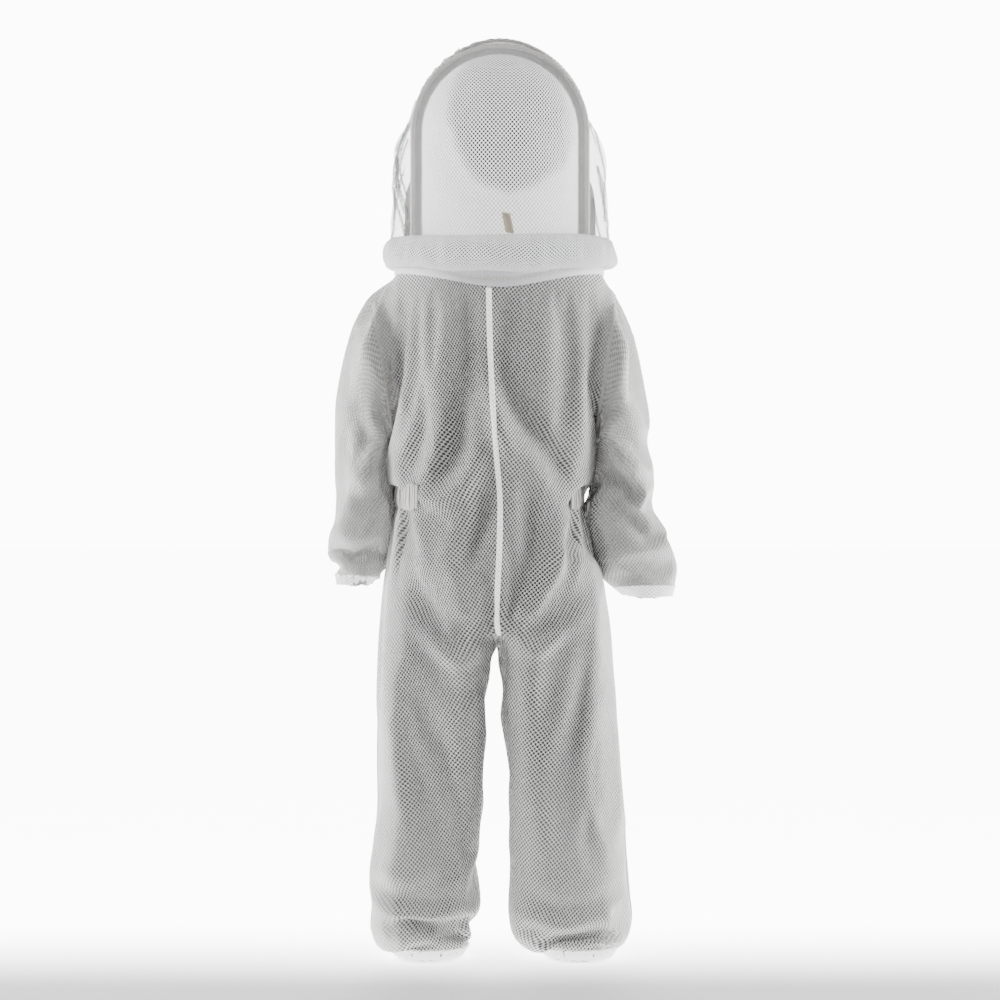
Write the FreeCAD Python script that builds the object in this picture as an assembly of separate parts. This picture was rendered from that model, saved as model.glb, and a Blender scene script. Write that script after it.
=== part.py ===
import FreeCAD, Part
import math
import os

# A child's ventilated beekeeping coverall with a fencing-style hood, in the
# shape it has when worn.  Millimetres, +Z up, the suit's front faces -Y and
# the wearer's left is +X.  The origin lies at hem level under the middle of
# the suit's outline.

# ---- driving dimensions -------------------------------------------------
cloth = 3.5               # three-layer mesh, with its hems, as a plain wall
sleeve_cloth = 3.0
net = 2.0                 # veil netting as a plain wall
binding = 2.4             # bindings and patches stand this far off the cloth
gap = 0.3                 # air between pieces of different bodies
fore_aft = 24.5           # from the torso's middle to the outline's middle

crotch_z = 470.0
front_depth = 108.0       # torso front, straight down the zip
waist_z = 631.0
waist_height = 44.0
ring_width = 140.0        # half width of the neck opening
ring_sag_radius = 420.0   # the neck seam dips at front and back by this arc
ring_low_z = 911.0        # neck seam at the centre back and front
tape_height = 8.0
teeth_height = 4.0

armhole_x = 157.0
armhole_z = 829.0
armhole_half_height = 86.0
armhole_half_depth = 64.0
shoulder_pivot = (156.0, 916.0)

hem_x = 100.0
hem_radius = 48.0         # inside the ankle elastic
hem_band = 20.0
cuff_x = 210.0
cuff_radius = 27.0        # inside the wrist elastic
cuff_y = -14.0
cuff_z = 501.0
cuff_band = 21.0
elastic = 4.0

arch_z = 1125.0           # centre of the hood's rear arch
arch_y = 31.5
arch_outer = 122.0
channel_width = 19.0
channel_depth = 7.0
panel_width = arch_outer - channel_width + 2
rod_radius = 2.2
hood_base_z = 982.0
hood_back_depth = 78.0
crown_z = 1255.0
front_hoop_radius = 128.0
front_hoop_leg = 60.0
front_hoop_tilt = 30.0
front_hoop_base = (-25.0, 986.0)

Vec = FreeCAD.Vector


# ---- helpers --------------------------------------------------------------
def box(x0, x1, y0, y1, z0, z1):
    return Part.makeBox(x1 - x0, y1 - y0, z1 - z0, Vec(x0, y0, z0))


def smooth_loop(points):
    curve = Part.BSplineCurve()
    curve.interpolate(points, PeriodicFlag=True)
    return Part.Wire([curve.toShape()])


def rounded(angle, power):
    # unit superellipse: power 2 is a circle, more is squarer
    c = math.cos(angle)
    s = math.sin(angle)
    x = math.copysign(abs(c) ** (2.0 / power), c)
    y = math.copysign(abs(s) ** (2.0 / power), s)
    return x, y


def level_loop(z, x_mid, half_width, front, back, power, grow, count=28):
    # horizontal loop, deeper at the back than at the front where needed
    points = []
    for i in range(count):
        x, y = rounded(2 * math.pi * i / count, power)
        depth = back if y > 0 else front
        points.append(Vec(x_mid + (half_width + grow) * x, (depth + grow) * y, z))
    return smooth_loop(points)


tubes = {}


def level_tube(sections, grow):
    # a smooth closed tube through level loops, kept for the next piece cut from it
    key = (sections[0], len(sections), grow)
    if key not in tubes:
        wires = [level_loop(*section, grow) for section in sections]
        tubes[key] = Part.makeLoft(wires, True, False)
    return tubes[key]


def skin(sections, inner, outer, region=None):
    # the layer between two offsets of the same tube, inside a region
    tube = level_tube(sections, outer)
    if region is not None:
        tube = tube.common(region)
    return tube.cut(level_tube(sections, inner))


def mirrored(shape):
    return shape.mirror(Vec(0, 0, 0), Vec(1, 0, 0))


def ring(x, y, z, inner, outer, height):
    hole = Part.makeCylinder(inner, height, Vec(x, y, z))
    return Part.makeCylinder(outer, height, Vec(x, y, z)).cut(hole)


def below_neck(height):
    # space under the neck seam's dipping line, raised by height
    radius = ring_sag_radius - height
    middle_z = ring_low_z + ring_sag_radius
    block = box(-300, 300, -300, 300, -10, middle_z)
    drum = Part.makeCylinder(radius, 700, Vec(0, -350, middle_z), Vec(0, 1, 0))
    return block.cut(drum)


def neck_band(low, high, inner, outer):
    wall = neck_tube(outer).cut(neck_tube(inner))
    return wall.common(below_neck(high)).cut(below_neck(low))


def neck_tube(grow):
    wires = [level_loop(z, 0, ring_width, front_depth, front_depth, 2, grow) for z in (890, 975)]
    return Part.makeLoft(wires, True, True)


# ---- torso ----------------------------------------------------------------
# height, middle, half width, front depth, back depth, squareness
torso_sections = [
    (crotch_z, 0, 170, front_depth, 108, 2.8),
    (512, 0, 170, front_depth, 117, 2.8),
    (545, 0, 167, front_depth, 117, 2.8),
    (588, 0, 155, front_depth, 109, 2.8),
    (waist_z, 0, 140, front_depth, 104, 2.8),
    (680, 0, 143, front_depth, 106, 2.8),
    (760, 0, 149, front_depth, 110, 3.0),
    (840, 0, 152, front_depth, 111, 3.0),
    (888, 0, 151, front_depth, 109, 2.6),
    (915, 0, 146, front_depth, front_depth, 2.2),
    (936, 0, ring_width, front_depth, front_depth, 2.0),
    (960, 0, ring_width, front_depth, front_depth, 2.0),
]


def armhole_plug(grow):
    # oval drum through the torso's side wall
    oval = Part.Ellipse(Vec(0, 0, 0), armhole_half_height + grow, armhole_half_depth + grow)
    face = Part.Face(Part.Wire([oval.toShape()]))
    face.rotate(Vec(0, 0, 0), Vec(0, 1, 0), 90)
    face.translate(Vec(100, 0, armhole_z))
    return face.extrude(Vec(100, 0, 0))


def torso_panels():
    wall = skin(torso_sections, -cloth, 0).common(below_neck(0))
    for plug in (armhole_plug(cloth), mirrored(armhole_plug(cloth))):
        wall = wall.cut(plug)
    halves = {"back": (0, 200), "front": (-200, 0)}
    sides = {"left": (0, 300), "right": (-300, 0)}
    panels = {}
    for face_name, (y0, y1) in halves.items():
        for side, (x0, x1) in sides.items():
            region = box(x0, x1, y0, y1, crotch_z, 1000)
            panels[face_name + "_panel_" + side] = wall.common(region)
    return panels


def armhole_bindings():
    tube = armhole_plug(cloth - 0.2).cut(armhole_plug(0))
    inside = level_tube(torso_sections, -cloth)
    left = tube.common(box(100, armhole_x - 0.6, -200, 200, 600, 950)).cut(inside)
    return {"armhole_binding_left": left, "armhole_binding_right": mirrored(left)}


def torso_layer(region, outer=binding, inner=0):
    return skin(torso_sections, inner, outer, region)


def torso_seams():
    seam_half = 5.0
    waist_low = waist_z - waist_height / 2
    waist_high = waist_z + waist_height / 2
    underarm = armhole_z - armhole_half_height - cloth - 1
    spine = torso_layer(box(-seam_half, seam_half, 0, 200, crotch_z, 1000))
    seams = {"centre_back_binding": spine.common(below_neck(0))}
    stretches = {
        "side_binding_hip": (crotch_z, waist_low),
        "waist_elastic": (waist_low, waist_high),
        "side_binding_rib": (waist_high, underarm),
    }
    for name, (z0, z1) in stretches.items():
        half = 21.0 if name == "waist_elastic" else seam_half
        left = torso_layer(box(0, 300, -half, half, z0, z1))
        seams[name + "_left"] = left
        seams[name + "_right"] = mirrored(left)
    return seams


# ---- front closure ----------------------------------------------------------
zip_bottom = 492.0
zip_top = ring_low_z - 2
slider_top = 878.0


def main_zip():
    tape = 1.4
    tooth = 3.2
    left_tape = torso_layer(box(0, 15, -200, 0, zip_bottom - 6, zip_top), tape)
    return {
        "main_zip_tape_left": left_tape,
        "main_zip_tape_right": mirrored(left_tape),
        "main_zip_teeth": torso_layer(box(-2.8, 2.8, -200, 0, zip_bottom, zip_top - 4), tooth, tape),
        "main_zip_stop": torso_layer(box(-4, 4, -200, 0, zip_bottom - 5, zip_bottom), tooth, tape),
    }


def slider_shape(y_face, z_top, width, height):
    # domed plate with the crown that carries the pull
    plate = box(-width / 2, width / 2, y_face - 2.0, y_face, z_top - height, z_top)
    crown = box(-1.5, 1.5, y_face - 5.5, y_face - 2.0, z_top - height + 1.5, z_top - 2)
    eye = Part.makeCylinder(1.1, 4, Vec(-2, y_face - 3.9, z_top - height + 4), Vec(1, 0, 0))
    return plate.fuse(crown).cut(eye)


def pull_shape(y_mid, z_eye, width, length):
    # ring end round the crown's eye, then a flat tab hanging from it
    bail = box(-width / 2, width / 2, y_mid - 0.7, y_mid + 0.7, z_eye - 7, z_eye + 1.2)
    bail = bail.cut(box(-1.9, 1.9, y_mid - 2, y_mid + 2, z_eye - 5, z_eye + 0.2))
    pin = Part.makeCylinder(0.7, width - 1, Vec(-(width - 1) / 2, y_mid, z_eye), Vec(1, 0, 0))
    bail = bail.cut(box(-1.9, 1.9, y_mid - 2, y_mid + 2, z_eye + 0.1, z_eye + 3)).fuse(pin)
    tab = box(-width / 2 - 0.5, width / 2 + 0.5, y_mid - 0.8, y_mid + 0.8, z_eye - length, z_eye - 7)
    return bail.fuse(tab)


def main_slider():
    y_face = -(front_depth + 3.2 + gap)
    slider = slider_shape(y_face, slider_top, 9.0, 12.0)
    pull = pull_shape(y_face - 3.9, slider_top - 8.0, 6.0, 30.0)
    return {"main_zip_slider": slider, "main_zip_pull": pull}


def throat_flap():
    # a hook-and-loop tab over the place where the two zips meet
    y_out = -124.5
    flap = box(-32, 32, y_out, y_out + 3, 881, 929)
    stub = box(33, 39, y_out, -98, 881, 892).cut(level_tube(torso_sections, binding))
    pad = torso_layer(box(-40, -18, -200, 0, 884, 904))
    return {"throat_flap": flap, "throat_flap_tab": stub, "throat_loop_pad": pad}


# ---- neck zip ---------------------------------------------------------------
def neck_zip():
    low = tape_height
    high = tape_height + teeth_height
    return {
        "neck_zip_lower_tape": neck_band(0, low, -2.4, -0.8),
        "neck_zip_teeth": neck_band(low, high, -3.0, -0.2),
        "neck_zip_upper_tape": neck_band(high + gap, high + gap + tape_height, -2.4, -0.8),
    }


def neck_sliders():
    # two sliders that meet at the throat, each with a short cord-like tab
    y_face = -(front_depth + 1.3)
    z_top = ring_low_z + tape_height + teeth_height / 2 + 5.5
    slider = slider_shape(y_face, z_top, 8.0, 11.0)
    pull = pull_shape(y_face - 3.9, z_top - 7.0, 5.0, 17.0)
    turn = 2.6
    parts = {}
    for side, angle in (("left", turn), ("right", -turn)):
        for name, shape in (("slider", slider), ("pull", pull)):
            copy = shape.copy()
            copy.rotate(Vec(*neck_hub()), Vec(*neck_axis()), angle)
            parts["neck_zip_" + name + "_" + side] = copy
    return parts


def neck_hub():
    # centre of the circle that hugs the neck seam at the throat
    radius, lean = neck_hug()
    mid_z = ring_low_z + tape_height + teeth_height / 2
    return 0, -front_depth + radius * math.cos(lean), mid_z + radius * math.sin(lean)


def neck_axis():
    radius, lean = neck_hug()
    return 0, -math.sin(lean), math.cos(lean)


def neck_hug():
    level_radius = ring_width ** 2 / front_depth
    sag_radius = ring_sag_radius - tape_height - teeth_height / 2
    bend = math.hypot(1 / level_radius, 1 / sag_radius)
    return 1 / bend, math.atan2(1 / sag_radius, 1 / level_radius)


# ---- pockets ------------------------------------------------------------------
def pockets():
    patch = 3.0
    cover = 5.6
    hip_left = torso_layer(box(40, 112, -200, 0, 500, 585), patch)
    return {
        "chest_pocket": torso_layer(box(26, 92, -200, 0, 728, 806), patch),
        "chest_pocket_flap": torso_layer(box(24, 94, -200, 0, 776, 812), cover, patch + gap),
        "chest_pocket_welt": torso_layer(box(24, 94, -200, 0, 812.4, 820), cover),
        "hip_pocket_left": hip_left,
        "hip_pocket_right": mirrored(hip_left),
    }


# ---- legs ---------------------------------------------------------------------
leg_sections = [
    (crotch_z - 0.1, 90, 80, 101, 104, 2.6),
    (440, 91, 81, 98, 103, 2.6),
    (395, 92, 82, 94, 97, 2.6),
    (300, 93, 82, 84, 86, 2.6),
    (188, 94.5, 79.5, 80, 80, 2.5),
    (80, 97.5, 77, 77, 77, 2.4),
    (45, 99, 73, 72, 72, 2.3),
    (24, hem_x, 65, 63, 63, 2.1),
    (8, hem_x, 56, 56, 56, 2.0),
]


def legs():
    parts = {}
    leg = skin(leg_sections, -cloth, 0)
    patch = skin(leg_sections, 0, binding, box(0, 300, -200, -20, 300, 420))
    band = ring(hem_x, 0, 0, hem_radius, hem_radius + elastic, hem_band)
    for name, left in (("leg", leg), ("knee_patch", patch), ("ankle_elastic", band)):
        parts[name + "_left"] = left
        parts[name + "_right"] = mirrored(left)
    return parts


# ---- sleeves ------------------------------------------------------------------
# inner x, inner z, outer x, outer z, middle y, half depth
sleeve_sections = [
    (armhole_x, 743, armhole_x, 915, 0, 64),
    (162, 736, 194, 894, 0, 64),
    (162, 726, 220, 848, -1, 62),
    (159, 707, 236, 775, -3, 58),
    (158, 672, 242, 690, -6, 54),
    (166, 605, 243, 612, -10, 46),
    (174, 548, 243, 550, -12, 38),
    (cuff_x - 34, 510, cuff_x + 34, 510, cuff_y, 34),
]


def sleeve_loop(x_in, z_in, x_out, z_out, y_mid, half_depth, grow, count=24):
    centre = Vec((x_in + x_out) / 2, y_mid, (z_in + z_out) / 2)
    across = Vec(x_out - x_in, 0, z_out - z_in)
    half = across.Length / 2 + grow
    across.normalize()
    points = []
    for i in range(count):
        angle = 2 * math.pi * i / count
        side = across * (half * math.cos(angle))
        points.append(centre + side + Vec(0, (half_depth + grow) * math.sin(angle), 0))
    return smooth_loop(points)


def sleeve_tube(grow):
    # straight facets between tilted loops, closed at both ends
    loops = [sleeve_loop(*section, grow) for section in sleeve_sections]
    faces = [Part.makeRuledSurface(a.Edges[0], b.Edges[0]) for a, b in zip(loops, loops[1:])]
    faces += [Part.Face(loops[0]), Part.Face(loops[-1])]
    return Part.makeSolid(Part.makeShell(faces))


def sleeves():
    left = sleeve_tube(0).cut(sleeve_tube(-sleeve_cloth))
    band = ring(cuff_x, cuff_y, cuff_z, cuff_radius, cuff_radius + elastic - 0.5, cuff_band)
    return {
        "sleeve_left": left,
        "sleeve_right": mirrored(left),
        "wrist_elastic_left": band,
        "wrist_elastic_right": mirrored(band),
    }


# ---- hood -----------------------------------------------------------------------
def arch_band(inner, outer, y0, y1, leg_bottom, centre_z):
    # upright arch: half a ring on two straight legs
    depth = y1 - y0
    drum = Part.makeCylinder(outer, depth, Vec(0, y0, centre_z), Vec(0, 1, 0))
    drum = drum.cut(Part.makeCylinder(inner, depth, Vec(0, y0, centre_z), Vec(0, 1, 0)))
    arch = drum.common(box(-300, 300, -300, 300, centre_z, centre_z + 300))
    for x0, x1 in ((inner, outer), (-outer, -inner)):
        arch = arch.fuse(box(x0, x1, y0, y1, leg_bottom, centre_z))
    return arch.removeSplitter()


def arch_rod(radius, rod, y, leg_bottom, centre_z):
    rod_arch = Part.makeTorus(radius, rod, Vec(0, y, centre_z), Vec(0, 1, 0))
    rod_arch = rod_arch.common(box(-300, 300, -300, 300, centre_z, centre_z + 300))
    for x in (radius, -radius):
        leg = Part.makeCylinder(rod, centre_z - leg_bottom, Vec(x, y, leg_bottom))
        rod_arch = rod_arch.fuse(leg)
    return rod_arch.removeSplitter()


def rear_arch():
    mid = arch_outer - channel_width / 2
    inner = arch_outer - channel_width
    channel = arch_band(inner, arch_outer, arch_y - channel_depth / 2,
                        arch_y + channel_depth / 2, hood_base_z, arch_z)
    channel = channel.cut(arch_rod(mid, rod_radius, arch_y, hood_base_z - 5, arch_z))
    rod = arch_rod(mid, rod_radius, arch_y, hood_base_z + 2, arch_z)
    return {"rear_hoop_channel": channel, "rear_hoop_rod": rod}


def front_hoop():
    base_y, base_z = front_hoop_base
    centre_z = base_z + front_hoop_leg
    sleeve = arch_band(front_hoop_radius - 5, front_hoop_radius + 5, base_y - 3.5,
                       base_y + 3.5, base_z, centre_z)
    sleeve = sleeve.cut(arch_rod(front_hoop_radius, rod_radius, base_y, base_z - 5, centre_z))
    rod = arch_rod(front_hoop_radius, rod_radius, base_y, base_z + 2, centre_z)
    for shape in (sleeve, rod):
        shape.rotate(Vec(0, base_y, base_z), Vec(1, 0, 0), front_hoop_tilt)
    return {"front_hoop_channel": sleeve, "front_hoop_rod": rod}


def scaled_ball(x_radius, y_radius, z_radius, y_mid, z_mid):
    ball = Part.makeSphere(1.0)
    grow = FreeCAD.Matrix()
    grow.scale(Vec(x_radius, y_radius, z_radius))
    ball = ball.transformGeometry(grow)
    ball.translate(Vec(0, y_mid, z_mid))
    return ball


def oval_drum(x_radius, y_radius, y_mid, z0, z1):
    disc = Part.makeCylinder(1.0, z1 - z0)
    grow = FreeCAD.Matrix()
    grow.scale(Vec(x_radius, y_radius, 1))
    disc = disc.transformGeometry(grow)
    disc.translate(Vec(0, y_mid, z0))
    return disc


def hood_back_panel():
    # half a drum closed by a quarter ball, turned from one profile, then flattened
    width = panel_width
    inner = width - cloth
    corner = math.sqrt(0.5)

    def at(x, z):
        return Vec(x, 0, z)

    def quarter(radius, start, end):
        middle = at(radius * corner, arch_z + radius * corner)
        return Part.Arc(start, middle, end).toShape()

    edges = [
        Part.makeLine(at(width, hood_base_z), at(width, arch_z)),
        quarter(width, at(width, arch_z), at(0, arch_z + width)),
        Part.makeLine(at(0, arch_z + width), at(0, arch_z + inner)),
        quarter(inner, at(0, arch_z + inner), at(inner, arch_z)),
        Part.makeLine(at(inner, arch_z), at(inner, hood_base_z)),
        Part.makeLine(at(inner, hood_base_z), at(width, hood_base_z)),
    ]
    half = Part.Face(Part.Wire(edges)).revolve(Vec(0, 0, 0), Vec(0, 0, 1), 180)
    flatten = FreeCAD.Matrix()
    flatten.scale(Vec(1, hood_back_depth / width, 1))
    half = half.transformGeometry(flatten)
    half.translate(Vec(0, arch_y + channel_depth / 2, 0))
    return half


def crown():
    rise = crown_z - arch_z
    y0 = arch_y - channel_depth / 2
    ball = scaled_ball(arch_outer, 152, rise, y0, arch_z)
    ball = ball.cut(scaled_ball(arch_outer - cloth, 152 - cloth, rise - cloth, y0, arch_z))
    return ball.common(box(-200, 200, -300, y0, veil_top_z, 1400))


veil_top_z = 1186.0
# height, half width at the arch, bulge beyond it, reach to the front, seam width
veil_sections = [
    (hood_base_z, arch_outer, 29, 158),
    (1000, arch_outer, 36, 186),
    (1030, arch_outer, 40, 203),
    (1075, arch_outer, 37, 208),
    (1125, arch_outer, 27, 203),
    (1160, 117, 12, 187),
    (veil_top_z, 107, 2, 142),
]


def veil_edge(half_width, bulge, reach, thick, count=18):
    # from the left arch leg round the face to the right one
    points = []
    y0 = arch_y - channel_depth / 2
    for i in range(-count, count + 1):
        angle = math.pi / 2 * (1 - abs(i) / count)
        swell = bulge * (1 - math.exp(-angle / 0.17))
        x = (half_width + swell - thick) * math.cos(angle) ** 0.85
        y = y0 - (reach - thick) * math.sin(angle)
        points.append((math.copysign(x, i), y))
    return points


def net_section(z, half_width, bulge, reach):
    outer = [Vec(x, y, z) for x, y in veil_edge(half_width, bulge, reach, 0)]
    inner = [Vec(x, y, z) for x, y in veil_edge(half_width, bulge, reach, net)]
    curves = []
    for points in (outer, inner):
        curve = Part.BSplineCurve()
        curve.interpolate(points)
        curves.append(curve.toShape())
    end = Part.makeLine(outer[-1], inner[-1])
    start = Part.makeLine(inner[0], outer[0])
    return Part.Wire([curves[0], end, curves[1], start])


def veil():
    wires = [net_section(*section) for section in veil_sections]
    return Part.makeLoft(wires, True, False)


def hood_collar():
    # soft roll of mesh above the neck zip, dipping with the seam
    sections = [
        (928, 0, 141, 109.5, 109.5, 2),
        (944, 0, 154, 119, 121, 2),
        (958, 0, 162, 124, 127, 2),
        (970, 0, 160, 124, 126, 2),
        (hood_base_z - 0.5, 0, 152, 121, 121, 2),
    ]
    roll = skin(sections, -cloth, 0)
    seam_top = tape_height + teeth_height + gap + tape_height
    return roll.cut(below_neck(seam_top + 0.1))


def hanger_loop():
    # a strip standing off the nape, its two ends sewn down
    y_wall = arch_y + channel_depth / 2 + hood_back_depth
    strip = box(-6, 6, y_wall - 1, y_wall + 7.0, 985, 1012)
    hole = box(-7, 7, y_wall - 2, y_wall + 5.4, 987, 1010)
    wall = oval_drum(panel_width, hood_back_depth, arch_y + channel_depth / 2, 900, 1100)
    return strip.cut(hole).cut(wall)


def hood():
    parts = {
        "hood_back_panel": hood_back_panel(),
        "hood_crown": crown(),
        "veil": veil(),
        "hood_collar": hood_collar(),
        "hanger_loop": hanger_loop(),
    }
    parts.update(rear_arch())
    parts.update(front_hoop())
    return parts


# ---- assembly -------------------------------------------------------------------
def main():
    os.makedirs("parts", exist_ok=True)
    nodes = {}
    for group in (torso_panels, armhole_bindings, torso_seams, main_zip, main_slider, throat_flap,
                  neck_zip, neck_sliders, pockets, legs, sleeves, hood):
        nodes.update(group())
    low = [1e9] * 3
    high = [-1e9] * 3
    for name, shape in nodes.items():
        shape.translate(Vec(0, fore_aft, 0))
        b = shape.BoundBox
        low = [min(low[0], b.XMin), min(low[1], b.YMin), min(low[2], b.ZMin)]
        high = [max(high[0], b.XMax), max(high[1], b.YMax), max(high[2], b.ZMax)]
        print(name, "solids", len(shape.Solids), "valid", shape.isValid(), "mm3", round(shape.Volume))
        shape.exportStep("parts/" + name + ".step")
    print("outline", [round(v, 2) for v in low], [round(v, 2) for v in high], len(nodes))


main()
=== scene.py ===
import math
import bpy
import bmesh
import numpy as np
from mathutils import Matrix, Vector
from mathutils.bvhtree import BVHTree


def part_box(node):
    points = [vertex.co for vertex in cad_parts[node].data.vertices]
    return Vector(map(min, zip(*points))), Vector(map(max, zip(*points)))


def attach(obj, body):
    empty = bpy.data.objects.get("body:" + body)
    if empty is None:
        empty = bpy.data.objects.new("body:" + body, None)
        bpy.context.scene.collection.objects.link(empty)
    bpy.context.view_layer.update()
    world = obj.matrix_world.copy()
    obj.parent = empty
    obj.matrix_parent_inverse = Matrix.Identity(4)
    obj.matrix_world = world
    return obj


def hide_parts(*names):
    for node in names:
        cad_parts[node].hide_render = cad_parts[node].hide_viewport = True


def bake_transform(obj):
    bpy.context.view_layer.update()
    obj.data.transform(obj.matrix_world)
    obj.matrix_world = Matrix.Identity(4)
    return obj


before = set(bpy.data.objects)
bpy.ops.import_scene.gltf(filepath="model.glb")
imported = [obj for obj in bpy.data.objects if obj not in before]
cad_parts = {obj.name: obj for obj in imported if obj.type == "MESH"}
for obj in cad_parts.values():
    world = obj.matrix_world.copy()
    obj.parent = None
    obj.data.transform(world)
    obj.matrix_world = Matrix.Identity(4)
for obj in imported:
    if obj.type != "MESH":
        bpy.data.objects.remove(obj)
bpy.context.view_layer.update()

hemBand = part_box("ankle_elastic_left")
midY = (hemBand[0].y + hemBand[1].y) / 2          # the wearer's middle, front to back


def toLinear(hexColour):
    channels = [int(hexColour[i:i + 2], 16) / 255 for i in (1, 3, 5)]
    return tuple(c / 12.92 if c <= 0.04045 else ((c + 0.055) / 1.055) ** 2.4 for c in channels) + (1.0,)


def place(x, y, z):
    # suit millimetres to frame metres
    return Vector((x / 1000, y / 1000 + midY, z / 1000))


def curveAt(knots, t):
    # smooth curve through (position, value) pairs, level beyond the ends
    xs = np.array([k[0] for k in knots], float)
    ys = np.array([k[1] for k in knots], float)
    if xs[0] > xs[-1]:
        xs, ys = xs[::-1], ys[::-1]
    t = np.clip(np.asarray(t, float), xs[0], xs[-1])
    steps = np.diff(xs)
    slopes = np.diff(ys) / steps
    tangent = np.zeros_like(ys)
    for i in range(1, len(ys) - 1):
        if slopes[i - 1] * slopes[i] > 0:
            weight = steps[i] / (steps[i - 1] + steps[i])
            tangent[i] = weight * slopes[i - 1] + (1 - weight) * slopes[i]
            limit = 3 * min(abs(slopes[i - 1]), abs(slopes[i]))
            tangent[i] = math.copysign(min(abs(tangent[i]), limit), tangent[i])
    tangent[0], tangent[-1] = slopes[0], slopes[-1]
    i = np.clip(np.searchsorted(xs, t, side="right") - 1, 0, len(steps) - 1)
    u = (t - xs[i]) / steps[i]
    a = (1 + 2 * u) * (1 - u) ** 2
    b = u * (1 - u) ** 2 * steps[i]
    c = u * u * (3 - 2 * u)
    d = u * u * (u - 1) * steps[i]
    return a * ys[i] + b * tangent[i] + c * ys[i + 1] + d * tangent[i + 1]


def newObject(name, verts, faces, material=None):
    mesh = bpy.data.meshes.new(name)
    mesh.from_pydata([tuple(v) for v in verts], [], faces)
    mesh.update()
    piece = bpy.data.objects.new(name, mesh)
    bpy.context.collection.objects.link(piece)
    if material is not None:
        mesh.materials.append(material)
    for polygon in mesh.polygons:
        polygon.use_smooth = True
    return piece


def gridFaces(rows, columns, closed):
    faces = []
    span = columns if closed else columns - 1
    for r in range(rows - 1):
        for c in range(span):
            d = (c + 1) % columns
            faces.append((r * columns + c, r * columns + d, (r + 1) * columns + d, (r + 1) * columns + c))
    return faces


# Outline of the cloth at each height: (z, half width or depth), in suit millimetres.
torso = {
    "left": [(950, 136), (930, 144), (905, 152), (870, 155), (800, 153), (740, 151), (690, 150),
             (650, 149), (631, 148), (608, 152), (570, 163), (530, 174), (490, 181), (460, 180)],
    "right": [(950, 136), (930, 142), (905, 145), (870, 142), (800, 134), (740, 128), (690, 124),
              (650, 119), (631, 117), (608, 122), (570, 138), (530, 157), (490, 168), (460, 171)],
    "back": [(950, 105), (915, 108), (880, 112), (800, 116), (740, 113), (690, 107), (631, 101),
             (590, 109), (540, 121), (500, 120), (460, 108)],
    "front": [(950, 105), (915, 107), (800, 107), (631, 103), (540, 106), (460, 98)],
    "power": [(950, 2.0), (905, 2.3), (850, 2.8), (631, 2.6), (460, 2.7)],
}
legs = {
    "left": {
        "outer": [(560, 160), (500, 178), (465, 180), (400, 176), (335, 171), (237, 166), (188, 170), (122, 173),
                  (106, 168), (57, 171), (38, 167), (24, 160), (8, 148), (0, 140)],
        "inner": [(560, 2), (470, 4), (440, 9), (400, 12), (300, 16), (220, 21), (155, 27), (73, 31), (38, 37),
                  (24, 42), (8, 50), (0, 56)],
    },
    "right": {
        "outer": [(560, 150), (500, 166), (465, 171), (400, 173), (335, 176), (237, 180), (188, 177), (122, 178),
                  (57, 176), (38, 172), (24, 164), (8, 156), (0, 148)],
        "inner": [(560, 2), (470, -4), (440, -5), (400, -4), (335, 1), (250, 5), (188, 8), (120, 10), (73, 13),
                  (45, 20), (30, 34), (14, 52), (0, 64)],
    },
    "back": [(560, 112), (470, 110), (400, 99), (300, 90), (188, 84), (90, 82), (45, 76), (20, 66), (0, 54)],
    "front": [(560, 100), (470, 98), (400, 93), (300, 86), (188, 82), (90, 80), (45, 74), (20, 64), (0, 54)],
}
# sleeve loops: inner x, inner z, outer x, outer z, middle y, half depth
sleeves = {
    "left": [(118, 765, 122, 915, 0, 56), (150, 744, 168, 922, 0, 64), (158, 735, 200, 897, 0, 66),
             (158, 722, 223, 846, -1, 64), (154, 700, 239, 780, -3, 60), (152, 668, 243, 706, -6, 55),
             (156, 620, 246, 640, -9, 51), (164, 575, 243, 584, -12, 46), (174, 542, 236, 543, -14, 40),
             (180, 520, 229, 520, -14, 31), (184, 505, 222, 506, -14, 25)],
    "right": [(112, 765, 116, 905, 0, 56), (136, 744, 152, 916, 0, 64), (142, 735, 180, 890, 0, 66),
              (139, 722, 202, 846, -1, 64), (133, 700, 214, 786, -3, 60), (129, 665, 223, 704, -6, 56),
              (131, 620, 228, 640, -9, 52), (140, 575, 236, 586, -12, 47), (152, 538, 242, 545, -14, 43),
              (161, 508, 241, 513, -14, 40), (165, 488, 237, 491, -14, 38)],
}


def levelRing(z, xMid, halfWidth, front, back, power, count):
    angles = np.arange(count) * 2 * math.pi / count
    c, s = np.cos(angles), np.sin(angles)
    x = xMid + halfWidth * np.sign(c) * np.abs(c) ** (2 / power)
    y = np.where(s > 0, back, front) * np.sign(s) * np.abs(s) ** (2 / power)
    return [place(a, b, z) for a, b in zip(x, y)]


def closedTube(name, rings):
    count = len(rings[0])
    verts = [v for ring in rings for v in ring]
    faces = gridFaces(len(rings), count, True)
    faces.append(tuple(range(count))[::-1])
    faces.append(tuple(range((len(rings) - 1) * count, len(rings) * count)))
    return newObject(name, verts, faces)


def torsoForm():
    rings = []
    for z in np.linspace(466, 950, 90):
        left, right = curveAt(torso["left"], z), curveAt(torso["right"], z)
        rings.append(levelRing(z, (left - right) / 2, (left + right) / 2, curveAt(torso["front"], z),
                               curveAt(torso["back"], z), curveAt(torso["power"], z), 120))
    return closedTube("torsoForm", rings)


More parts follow.
